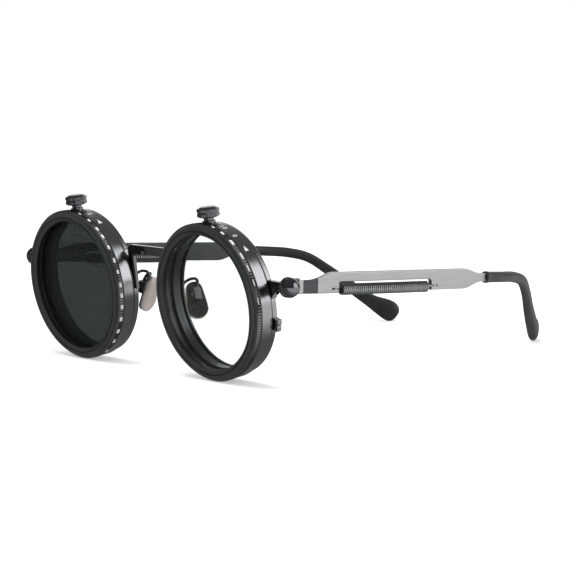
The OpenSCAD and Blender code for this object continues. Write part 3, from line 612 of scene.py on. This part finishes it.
def numeralShell(text, angle):
    # a plain figure, bent on the body ring with its top towards the back: its x becomes an angle
    m = marks
    curve = bpy.data.curves.new("numeral", "FONT")
    curve.body, curve.align_x, curve.align_y = text, "CENTER", "CENTER"
    curve.size, curve.extrude, curve.resolution_u = m["numeralHeight"] / 0.7, m["numeralThick"], 3
    holder = linked("numeral", curve)
    flat = evaluatedMesh(holder)
    bpy.data.objects.remove(holder)
    co = np.empty(3 * len(flat.vertices))
    flat.vertices.foreach_get("co", co)
    co = co.reshape(-1, 3)
    radius = bodyRing["radius"] + co[:, 2] - m["numeralSunk"]
    a = math.radians(angle) + co[:, 0] / bodyRing["radius"]
    points = np.stack([radius * np.sin(a), m["triangleDepth"] + co[:, 1], radius * np.cos(a)], 1)
    faces = [list(face.vertices) for face in flat.polygons]
    return dict(points=points, quads=np.empty((0, 4), int), lengths=np.empty((0, 4, 2)), caps=faces,
                marks=np.empty(0, int))


# Lock knob, over its bush: a pin, a stem and two knurled bands with a groove between them. A section's points
# are radii from its own axis and heights above the ring's centre

knob = dict(
    section=[(0, 25.15), (0.95, 25.15), (0.95, 26.35), (1.7, 26.38), (1.7, 27.36), (3.02, 27.36), (3.52, 27.6),
             (3.75, 27.82), (3.75, 28.625), (3.5, 28.765), (3.5, 29.085), (3.75, 29.225), (3.75, 30.03),
             (3.52, 30.25), (3.17, 30.45)],
    soft=[0, 0.05, 0.05, 0.1, 0.15, 0.05, 0.08, 0, 0, 0.04, 0.04, 0, 0, 0.06, 0.15], depth=5.0, teeth=36,
    toothDepth=0.2, crest=3.75, domeFrom=0, domeSteps=7, domeRadius=2.75, domeAt=30.62, domeHeight=0.34)


def knobShell():
    # the depth axis that it is turned about becomes the upward one
    return rearranged(domedPiece(knob), [0, 2, 1], [1, -1, 1], [0, knob["depth"], 0])


# Bridge, endpieces, cap nuts: across from the middle between the rings, back, and up from their centres

bridge = dict(legEdge=13.2, legWidth=2.8, legEnd=-0.7, top=14.55, corner=2.4, under=11.45, hollow=1.0,
              front=7.2, thick=1.5, edge=0.34)


def rimEdge(height):
    # half the chord of the rim's outside at a height above its centre, clear of the rim by a hair
    return np.sqrt((rearRim["outer"] + 0.02) ** 2 - np.square(height))


def bridgeShell():
    # a plate; half its outline runs by hollow, leg, rim's edge and corner, and the other half mirrors it
    b = bridge
    turn = np.radians(np.linspace(0, 90, 9))
    arc = np.stack([np.cos(turn), np.sin(turn)], 1) - 1
    inner = b["legEdge"] - b["legWidth"]
    hollow = [inner, b["under"]] + b["hollow"] * arc[::-1]
    z = np.linspace(b["legEnd"], rimEdge(halfSpacing - b["legEdge"]), 14)
    saddle = np.stack([halfSpacing - rimEdge(z), z], 1)
    corner = [b["legEdge"], b["top"]] + b["corner"] * arc
    half = np.vstack([hollow, [[inner, b["legEnd"]]], saddle, corner])
    outline = np.vstack([half, half[::-1] * [-1, 1]])
    return plateShell(outline, b["front"], b["front"] + b["thick"], b["edge"], 4)


endpiece = dict(saddleTop=8, foot=2.2, arm=[(62.6, 2.2), (63, 4.2), (64, 4.8), (68.98, 4.8), (68.98, 7.8)],
                corner=0.3, front=6.8, thick=2.2, edge=0.3)


def endpieceShell():
    # a plate whose outline goes down the rim's edge to the foot, and out along the arm to the cap nut
    e = endpiece
    z = np.linspace(e["saddleTop"], e["foot"], 10)
    saddle = np.stack([halfSpacing + rimEdge(z), z], 1)
    arm = softCorners([saddle[-1], *e["arm"], saddle[0]], e["corner"], closed=False)
    return plateShell(np.vstack([saddle[:-1], arm[:-1]]), e["front"], e["front"] + e["thick"], e["edge"])


# a knurled collar with sloping edges, a neck, and nearly half a ball
capNut = dict(
    section=[(0, 0), (3.05, 0), (3.3, 0.2), (3.3, 1.2), (3.05, 1.4), (2.85, 1.45), (2.85, 1.65)],
    soft=[0, 0.05, 0, 0, 0.04, 0.03, 0.03], at=(69.0, 7.9, 6.3), teeth=36, toothDepth=0.22, crest=3.3,
    domeFrom=0.12, domeSteps=16, domeRadius=3.28, domeAt=1.65, domeHeight=3.28)


def capNutShell():
    # the depth axis that it is turned about becomes the outward one
    return rearranged(domedPiece(capNut), [1, 0, 2], by=capNut["at"])


# Temples: outward, along and up from the hinge's pin

blade = dict(
    inner=1.5, thick=1.6, start=-1.3, end=85.85, low=-2.3, high=4.5, frontNeck=4.4, swell=(3, 14),
    taper=(74.2, 83.2), neckMiddle=1.3, rearNeck=2.8, notch=(15.6, 58.6), notchTop=1.3, notchCorner=1.0,
    edge=0.28, facet=(0.5, 6.4), recess=0.62, holeAt=(13.1, 61.1), holeHeight=-0.85, hole=0.9)


def bladeEdge(u, way):
    # the upper edge for way 1, the lower for -1: half waves out from the front neck and in to the rear one
    b = blade
    widest, swellFrom = (b["high"], b["swell"][0]) if way > 0 else (b["low"], b["start"])
    front = ease(u, swellFrom, b["swell"][1], way * b["frontNeck"] / 2, widest)
    rear = ease(u, *b["taper"], widest, b["neckMiddle"] + way * b["rearNeck"] / 2)
    return np.where(u < b["taper"][0], front, rear)


def bladeShell():
    # a rounded rectangle carried along the blade, its lower edge lifted over the spring's notch
    b = blade
    n0, n1 = b["notch"]
    c = b["notchCorner"]
    arc = c * (1 - np.cos(np.radians(np.linspace(0, 90, 7))))
    stations = np.unique(np.concatenate([
        np.linspace(b["start"], b["facet"][0], 4), np.linspace(*b["facet"], 8),
        np.linspace(b["facet"][1], n0 - 0.3, 16), [n0 - 0.02], n0 + arc, np.linspace(n0 + c, n1 - c, 40),
        n1 - arc, [n1 + 0.02], np.linspace(n1 + 0.3, b["taper"][0], 12), np.linspace(*b["taper"], 22),
        [b["end"] - 0.3, b["end"]]]).round(4))
    inNotch = (stations > n0 - 0.01) & (stations < n1 + 0.01)
    fromEnd = np.clip(np.minimum(stations - n0, n1 - stations), 0, c)
    notchEdge = b["notchTop"] - c + np.sqrt(np.maximum(c * c - (c - fromEnd) ** 2, 0))
    low = np.where(inNotch, notchEdge, bladeEdge(stations, -1))
    high = bladeEdge(stations, 1)
    facetShare = (stations - b["facet"][0]) / (b["facet"][1] - b["facet"][0])
    outer = b["inner"] + b["thick"] - b["recess"] * (1 - np.clip(facetShare, 0, 1))
    inner = np.full_like(outer, b["inner"])
    turn = np.radians(np.linspace(0, 90, 4))
    r, hold = b["edge"], 0.7 * b["edge"]
    columns = []
    for x, w, across, up in ((outer, high, 1, 1), (inner, high, -1, 1), (inner, low, -1, -1),
                             (outer, low, 1, -1)):
        # each corner is a quarter circle with a holding point at both ends; every second one runs backwards
        cx, cw = x - across * r, w - up * r
        corner = [(cx + across * r, cw - up * hold)]
        corner += [(cx + across * r * math.cos(t), cw + up * r * math.sin(t)) for t in turn]
        corner += [(cx - across * hold, cw + up * r)]
        columns += corner if across == up else corner[::-1]
    grid = np.stack([np.stack([x, stations, w], 1) for x, w in columns], 1)
    # the facet has the second finish, the same brushed steel darkened as a painted dark reflection, and the
    # inner side, from corner to corner, the third
    facet = (stations >= b["facet"][0]) & (stations < b["facet"][1])
    perCorner = len(turn) + 2
    column = np.arange(len(columns))
    innerSide = (column > perCorner + 2) & (column <= 2 * perCorner + 2)
    numbers = np.where(innerSide, 2, facet[:, None].astype(int))
    return gridShell(grid, stations, alongLength(grid[len(grid) // 8], True), closeCols=True, capRows=True,
                     marks=numbers)


def holeShell(along):
    # a rod across the blade, to be cut away for one of the spring's hooks
    middle = blade["inner"] + blade["thick"] / 2
    path = np.array([[across, along, blade["holeHeight"]] for across in (middle - 2, middle, middle + 2)])
    return tubeShell(path, blade["hole"] / 2, 28, (0, 0.6, 0.8))


spring = dict(across=2.3, height=-1.15, fromU=16.9, toU=57.3, turns=43, outer=1.89, wire=0.78, hookWire=0.5,
              hookOut=3.42, hookIn=2.2, steps=22)


def springShell():
    # a helix: outward = r sin a, up = r cos a, and along grows evenly with the angle a; then the two hooks
    s = spring
    turnsAt = np.linspace(0, s["turns"], s["turns"] * s["steps"] + 1)
    radius = s["outer"] - s["wire"] / 2
    a = 2 * math.pi * turnsAt
    along = s["fromU"] + s["wire"] / 2 + (s["toU"] - s["fromU"] - s["wire"]) * turnsAt / s["turns"]
    path = np.stack([s["across"] + radius * np.sin(a), along, s["height"] + radius * np.cos(a)], 1)
    path, radii = roundedEnds(path, s["wire"] / 2)
    shells = [tubeShell(path, radii, 10, (0, 1, 0))]
    out, hole = s["hookOut"], blade["holeHeight"]
    for way, coilU, notchU, holeU in zip((-1, 1), (s["fromU"], s["toU"]), blade["notch"], blade["holeAt"]):
        # out of the coil, past the end of the notch, along the blade's face and into the hole
        route = splinePath([
            (s["across"] + 0.2, coilU - way * 1.2, s["height"] + 0.9),
            (s["across"] + 0.5, coilU + way * 0.1, s["height"] + 0.3),
            (out - 0.3, notchU + way * 0.1, hole - 0.1), (out, notchU + way * 0.9, hole),
            (out, holeU - way * 0.45, hole), (out - 0.45, holeU, hole), (s["hookIn"], holeU, hole)], 7)
        route, radii = roundedEnds(route, s["hookWire"] / 2)
        shells.append(tubeShell(route, radii, 12, (0, 0, 1)))
    return joined(shells)


# swell, flare and thicken are shares of the tip's length between which it gets taller, flares and thickens
tip = dict(
    across=2.3, sleeveHeight=3.7, sleeveThick=3.2, middleHeight=5.0, paddleHeight=7.9, paddleThick=4.1,
    route=[(2.3, 86.95, 1.3), (1.1, 95.3, 1.1), (-1.5, 104.19, 0.69), (-4.3, 112.08, -1.04),
           (-8.16, 118.9, -5.6), (-13.1, 126.27, -11.9), (-17.9, 133.69, -17.92), (-22.8, 141.1, -23.6)],
    straightTo=0.06, swell=(0.42, 0.86), flare=(0.8, 0.95), thicken=(0.5, 0.93), roundFrom=0.93, evenRows=0.75,
    fullness=2.5, endFullness=2.7, rearShare=0.66, rows=110, sides=36, core=0.75, coreFrom=84.35, coreTo=0.6)


def coreShell():
    # the temple's wire, inside the sleeve along the same curve
    t = tip
    curve = splinePath(t["route"], 24)
    run = alongLength(curve)
    path = np.vstack([[t["across"], t["coreFrom"], blade["neckMiddle"]], curve[run < t["coreTo"] * run[-1]]])
    path, radii = roundedEnds(path, t["core"])
    return tubeShell(path, radii, 14, (0, 0, 1))


def tipShell():
    # a full oval carried along a curve, swelling to the paddle, mostly rearwards, closed like a full ellipse
    t = tip
    curve = splinePath(t["route"], 24)
    run = alongLength(curve)
    k = np.linspace(0, 1, t["rows"])
    even, roundFrom = t["evenRows"], t["roundFrom"]
    rest = 1 - roundFrom
    share = np.where(k < even, k / even * roundFrom, roundFrom + rest * np.sin((k - even) * 2 * math.pi))
    path = np.stack([np.interp(share * run[-1], run, curve[:, i]) for i in range(3)], 1)
    steps = np.gradient(curve, axis=0)
    tangents = unitRows(np.stack([np.interp(share * run[-1], run, step) for step in steps.T], 1))
    straight = 3 * np.clip(1 - share / t["straightTo"], 0, 1)
    tangents = unitRows(tangents + straight[:, None] * [0, 1.0, 0])
    up = unitRows(np.array([0, 0, 1.0]) - tangents[:, 2:] * tangents)
    other = np.cross(tangents, up)
    closing = np.clip((share - roundFrom) / rest, 0, 0.9995)
    end = (1 - closing ** t["endFullness"]) ** (1 / t["endFullness"])
    full = (ease(share, *t["swell"], t["sleeveHeight"], t["middleHeight"])
            + ease(share, *t["flare"], 0, t["paddleHeight"] - t["middleHeight"])) / 2
    high = (full * end)[:, None, None]
    thick = (ease(share, *t["thicken"], t["sleeveThick"], t["paddleThick"]) / 2 * end)[:, None, None]
    path = path + (t["rearShare"] * (full - t["sleeveHeight"] / 2))[:, None] * up
    a = 2 * math.pi * np.arange(t["sides"])[None, :, None] / t["sides"]
    c, w = (np.sign(wave) * np.abs(wave) ** (2 / t["fullness"]) for wave in (np.cos(a), np.sin(a)))
    points = path[:, None] + high * c * up[:, None] + thick * w * other[:, None]
    return gridShell(points, alongLength(path), np.arange(t["sides"] + 1.0), closeCols=True, capRows=True)


# a short band with rounded outer edges, about the rear neck of the blade
collar = dict(section=[(1.2, 0), (2, 0), (2, 1.56), (1.2, 1.56)], soft=[0.05, 0.25, 0.25, 0.05], steps=4,
              segments=64, at=(2.3, 85.35, 1.3))


def collarShell():
    return rearranged(turnedPiece(collar), [0, 1, 2], by=collar["at"])


# Nose pads: away from the nose, back and up from the pad's screw

pad = dict(middle=(-2.95, 1.3, -1.6), height=12.8, width=7.6, thick=3.0, topShare=0.75, blend=0.35, sliceTo=88,
           leastSlice=0.55, sliceFullness=0.8, endSlice=0.4, plateShare=0.965, plateFrom=0.95, plateTo=1.45,
           plateEdge=0.12, sunk=0.1, splay=-20)


def dropOutline(count):
    # a drop: the normal's angle turns round a small circle above and a large one below, blended on the way
    a = 2 * math.pi * np.arange(count) / count
    low = pad["width"] / 2
    top = low * pad["topShare"]
    upper = ease(np.sin(a), -pad["blend"], pad["blend"], 0.0, 1.0)
    radius = low + (top - low) * upper
    centre = (low - pad["height"] / 2) + (pad["height"] - low - top) * upper
    return np.stack([radius * np.cos(a), centre + radius * np.sin(a)], 1)


def padShell():
    # the drop at every slice across the pad, its share of full size a least one and a power of the cosine of
    # the slice's angle
    p = pad
    slices = np.radians(np.linspace(-p["sliceTo"], p["sliceTo"], 27))
    share = p["leastSlice"] + (1 - p["leastSlice"]) * np.cos(slices) ** p["sliceFullness"]
    share[[0, -1]] = p["endSlice"]
    outline = dropOutline(56)
    x = np.minimum(np.sin(slices) * p["thick"] / 2, p["plateFrom"] + p["sunk"])
    sized = share[:, None, None] * outline
    points = np.stack([np.broadcast_to(x[:, None], sized.shape[:2]), sized[..., 0], sized[..., 1]], -1)
    return splayed(gridShell(points, x, alongLength(outline, True), closeCols=True, capRows=True))


def splayed(shell):
    # a pad's front edge turned towards the nose, about the pad's middle
    return dict(shell, points=shell["points"] @ turnMatrix("z", pad["splay"]).T + pad["middle"])


def padShadePlateShell():
    # a smaller drop as a thin dark plate on the pad's back, painted shade that darkens the pad's shaded outer
    # side
    p = pad
    plate = plateShell(dropOutline(48) * p["plateShare"], p["plateFrom"], p["plateTo"], p["plateEdge"])
    return splayed(rearranged(plate, [1, 0, 2]))


# the route leaves the rim, loops down and ends in the pad's box; the stub is the foot of the loop on the rim
wire = dict(
    radius=0.5, stubRadius=0.45,
    route=[(12.3, 8.72, 4.2), (12.3, 9.5, 4.2), (11.3, 10.9, 4.8), (9.5, 11.7, 4.5), (8.8, 11.9, 3.3),
           (9, 11.5, 2), (9.7, 11.5, 1.5), (10.3, 12.7, 2.4), (11.2, 14.3, 3.1), (12.8, 15.1, 3.1),
           (14.3, 14.7, 2.2), (14.5, 13.9, 1.2), (14.5, 13.5, 0.62)],
    stub=[(9.5, 11.3, 1.7), (9.9, 10.9, 0.8), (10.3, 10.4, -0.7), (10.5, 10.2, -2.0)])


def wireShell():
    # two round wires along smooth curves
    loop, loopRadii = roundedEnds(splinePath(wire["route"], 7), wire["radius"], 3)
    stub, stubRadii = roundedEnds(splinePath(wire["stub"], 6), wire["stubRadius"], 3)
    return joined([tubeShell(loop, loopRadii, 16, (0, 0, 1)), tubeShell(stub, stubRadii, 14, (1, 0, 0))])


# Making every piece on both sides: its name, shell, frame on the left, finishes, body and slot, the node it
# stands for, and the angle of its sharp edges where that isn't the usual one

sidePieces = [
    ("bezel", lambda: turnedPiece(bezel), leftRing, [satinBlack, borePaintedShade], "dial", "bezel_black",
     "front_bezel"),
    ("dial", lambda: turnedPiece(dial), leftRing, [dialGunmetal, innerGrey], "dial", "dial_gunmetal",
     "dial_ring", 30),
    ("body", lambda: turnedPiece(bodyRing), leftRing, [bodyGunmetal, innerGrey], "frame",
     "body_gunmetal", "body_ring"),
    ("rim", rimShell, leftRing, [bodyGunmetal, innerGrey], "frame", "body_gunmetal", "rear_rim", 30),
    ("knob_head", knobShell, leftRing, [blackChrome], "knob", "black_chrome", "lock_knob", 30),
    ("end_arm", endpieceShell, frontFrame, [blackChrome], "frame", "black_chrome", "endpiece"),
    ("dome", capNutShell, frontFrame, [blackChrome], "frame", "black_chrome", "cap_nut", 30),
    ("pad_wire", wireShell, frontFrame, [blackChrome], "frame", "black_chrome", "pad_arm"),
    ("blade", bladeShell, templeFrame, [bladeSteel, neckPaintedReflection, bladeInner], "temple", "blade_steel",
     "temple_blade", 35),
    ("spring", springShell, templeFrame, [springSteel], "temple", "spring_steel", "temple_spring"),
    ("ear_tip", tipShell, templeFrame, [tipRubber], "temple", "tip_rubber", "temple_tip", 60),
    ("core_wire", coreShell, templeFrame, [smallSteel], "temple", "small_steel", "temple_core"),
    ("collar", collarShell, templeFrame, [satinBlack], "temple", "bezel_black", "tip_collar"),
    ("pad_silicone", padShell, padFrame, [padSilicone], "pad", "pad_silicone", "nose_pad", 60),
    # the plate on the pad's back is painted shade for the pad's shaded side
    ("pad_plate", padShadePlateShell, padFrame, [padDarkAndPaintedShade], "pad", "black_chrome", None)]


def coverNode(name, finish):
    # a node whose shape is right keeps its mesh and gets a finish
    mesh = nodes[name].data
    mesh.materials.clear()
    mesh.materials.append(finish)


for sideName, side in (("left", 1), ("right", -1)):
    prefix = sideName + "_"
    for name, shell, place, finishes, body, slot, node, *sharp in sidePieces:
        rides = body if body == "frame" else prefix + body
        piece = makePiece(prefix + name, mirrored(placed(shell(), place), side), finishes, rides, slot,
                          [prefix + node] if node else (), *sharp)
        if name == "blade":
            cutAway(piece, [mirrored(placed(holeShell(at), place), side) for at in blade["holeAt"]])
    sideMarks = marks[sideName]
    markFrame = (ringCentre * [side, 1, 1], frontAxes)     # not mirrored: marks read the same way on both
    numerals = joined([numeralShell(text, angle) for text, angle in sideMarks["numerals"]])
    for name, shell, body in (("dial_marks", dashShell(sideMarks["dashes"]), prefix + "dial"),
                              ("index_mark", triangleShell(sideMarks["triangle"]), "frame"),
                              ("figures", numerals, "frame")):
        makePiece(prefix + name, placed(shell, markFrame), [markPaint], body, "small_steel")
    glass = clearGlass if side > 0 else tintGlass
    for name, finish in (
            ("snap_ring", innerGrey), ("knob_bush", blackChrome), ("hinge_front", hingeGunmetal),
            ("hinge_rear", hingeGunmetal), ("hinge_rivets", smallSteel), ("pad_box", padDarkAndPaintedShade),
            ("front_lens", glass), ("rear_lens", glass)):
        coverNode(prefix + name, finish)
    print(sideName, "side made")

makePiece("bridge_bar", placed(bridgeShell(), frontFrame), [blackChrome], "frame", "body_gunmetal",
          ["bridge"], 50)
for name in ("rim_screws", "hinge_screws", "pad_screws"):
    coverNode(name, smallSteel)
print("pieces made")


# Camera: seen from the wearer's left, a little above, through a long lens

camera = dict(azimuth=54.54, elevation=10.524, roll=6.469, yaw=-3.508, pitch=-0.264, distance=818.13,
              lens=153.1, sensor=36)


def standAt(holder, right, up, back, at):
    # an object's axes and place, as the columns of its matrix
    matrix = Matrix.Identity(4)
    for column, axis in enumerate((right, up, back, at)):
        for i in range(3):
            matrix[i][column] = axis[i]
    holder.matrix_world = matrix


def makeCamera():
    # the angles are about the point midway between the ring centres, in the leaning front's own frame
    c = camera
    az, el = math.radians(c["azimuth"]), math.radians(c["elevation"])
    back = np.array([math.sin(az) * math.cos(el), -math.cos(az) * math.cos(el), math.sin(el)])
    right = unitRows(np.cross(-back, [0, 0, 1.0]))
    aim = np.array([right, np.cross(right, -back), -back])
    turns = turnMatrix("z", c["roll"]) @ turnMatrix("x", c["pitch"]) @ turnMatrix("y", c["yaw"])
    rows = turns @ aim @ frontAxes
    lens = bpy.data.cameras.new("camera")
    lens.lens, lens.sensor_width, lens.clip_start, lens.clip_end = c["lens"], c["sensor"], 0.01, 50
    holder = linked("camera", lens)
    standAt(holder, rows[0], rows[1], -rows[2], (frontFrame[0] + c["distance"] * back @ frontAxes) * mm)
    bpy.context.scene.camera = holder


# Light: a white studio, dark towards the camera, with soft panels behind the object. A panel is a direction,
# the cosines from it at which the light begins and is full, and a strength

studio = dict(
    ambient=0.66, dark=0.1, overhead=0.22, overheadFrom=0.2,
    panels=[((0.741, 0.601, 0.3), 0.855, 0.92, 2.6), ((-0.8, 0.545, 0.3), 0.93, 0.985, 1.1),
            ((-0.7, 0.6, 0.38), 0.75, 0.97, 0.22), ((-0.35, 0.87, 0.32), 0.9, 0.965, 1.0)],
    floor=0.86, floorReach=6.0, glow=(0.4, 0.6), glowBetween=(0.25, 0.9),
    floorGrey=(0.2, 1.15), floorWay=(0.95, 0.31, 0.0), greyBetween=(0.05, 0.09),
    lampPower=6.5, lampSize=0.7, lampAt=(-0.12, -0.2, 1.0))


def rayKinds(tree):
    # whether a ray is seen, straight or through glass, and whether it comes off a polished surface
    path = addNode(tree, "LightPath", {})
    seen = addValues(tree, path.outputs["Is Camera Ray"], path.outputs["Is Transmission Ray"])
    return seen, path.outputs["Is Glossy Ray"]


def makeWorld():
    # panels are bright where the ray's direction lies near theirs; only glossy rays see them
    world = bpy.data.worlds.new("studio")
    bpy.context.scene.world = world
    world.use_nodes = True
    tree = world.node_tree
    white = (1, 1, 1, 1)
    ambient = feed(tree, tree.nodes["Background"], {"Color": white, "Strength": studio["ambient"]})
    direction = addNode(tree, "TexCoord", {}).outputs["Generated"]
    lights = []
    for axis, low, high, strength in studio["panels"]:
        dot = addNode(tree, "VectorMath", {0: direction, 1: unitRows(np.array(axis))}, "DOT_PRODUCT")
        lights.append(spread(tree, dot.outputs["Value"], 0, strength, low, high, smooth=True))
    height = addNode(tree, "SeparateXYZ", {"Vector": direction}).outputs["Z"]
    lights.append(spread(tree, height, studio["dark"], studio["overhead"], studio["overheadFrom"], 1.0))
    total = lights[0]
    for light in lights[1:]:
        total = addValues(tree, total, light)
    room = addNode(tree, "Background", {"Strength": total}).outputs["Background"]
    backdrop = addNode(tree, "Background", {"Color": white}).outputs["Background"]
    seen, glossy = rayKinds(tree)
    lit = mixedShader(tree, glossy, ambient.outputs["Background"], room)
    feed(tree, tree.nodes["World Output"], {"Surface": mixedShader(tree, seen, lit, backdrop)})


def makeFloor():
    # matt and pale; it glows a little for the eye, and polished metal sees it grey
    finish, tree, shader = nodeMaterial("floorPaper")
    s = studio
    feed(tree, shader, {"Base Color": (s["floor"],) * 3 + (1,), "Roughness": 1.0, "Specular IOR Level": 0.0})
    place = addNode(tree, "TexCoord", {}).outputs["Object"]
    away = addNode(tree, "VectorMath", {0: place}, "LENGTH").outputs["Value"]
    glow = addNode(tree, "Emission", {"Strength": spread(tree, away, *s["glow"], *s["glowBetween"])})
    along = addNode(tree, "VectorMath", {0: place, 1: s["floorWay"]}, "DOT_PRODUCT").outputs["Value"]
    grey = addNode(tree, "Emission", {"Strength": spread(tree, along, *s["floorGrey"], *s["greyBetween"])})
    paper = shader.outputs["BSDF"]
    lit = addNode(tree, "AddShader", {0: paper, 1: glow.outputs["Emission"]}).outputs["Shader"]
    seen, glossy = rayKinds(tree)
    whole = mixedShader(tree, glossy, mixedShader(tree, seen, paper, lit), grey.outputs["Emission"])
    feed(tree, tree.nodes["Material Output"], {"Surface": whole})
    mesh = bpy.data.meshes.new("floor")
    reach = s["floorReach"]
    corners = [(reach * x, reach * y, 0) for x, y in ((-1, -1), (1, -1), (1, 1), (-1, 1))]
    mesh.from_pydata(corners, [], [(0, 1, 2, 3)])
    mesh.materials.append(finish)
    linked("floor", mesh)


def makeLamp():
    # one broad soft lamp overhead, for shade and the floor's shadow alone
    lamp = bpy.data.lights.new("softbox", "AREA")
    lamp.shape, lamp.size, lamp.energy = "DISK", studio["lampSize"], studio["lampPower"]
    holder = linked("softbox", lamp)
    at = np.array(studio["lampAt"])
    back = unitRows(at)
    right = unitRows(np.cross([0, 0, 1.0], back))
    standAt(holder, right, np.cross(back, right), back, at)
    holder.visible_glossy = False


makeCamera()
makeWorld()
makeFloor()
makeLamp()
bpy.context.scene.view_settings.view_transform = "Standard"
print("camera and studio made")
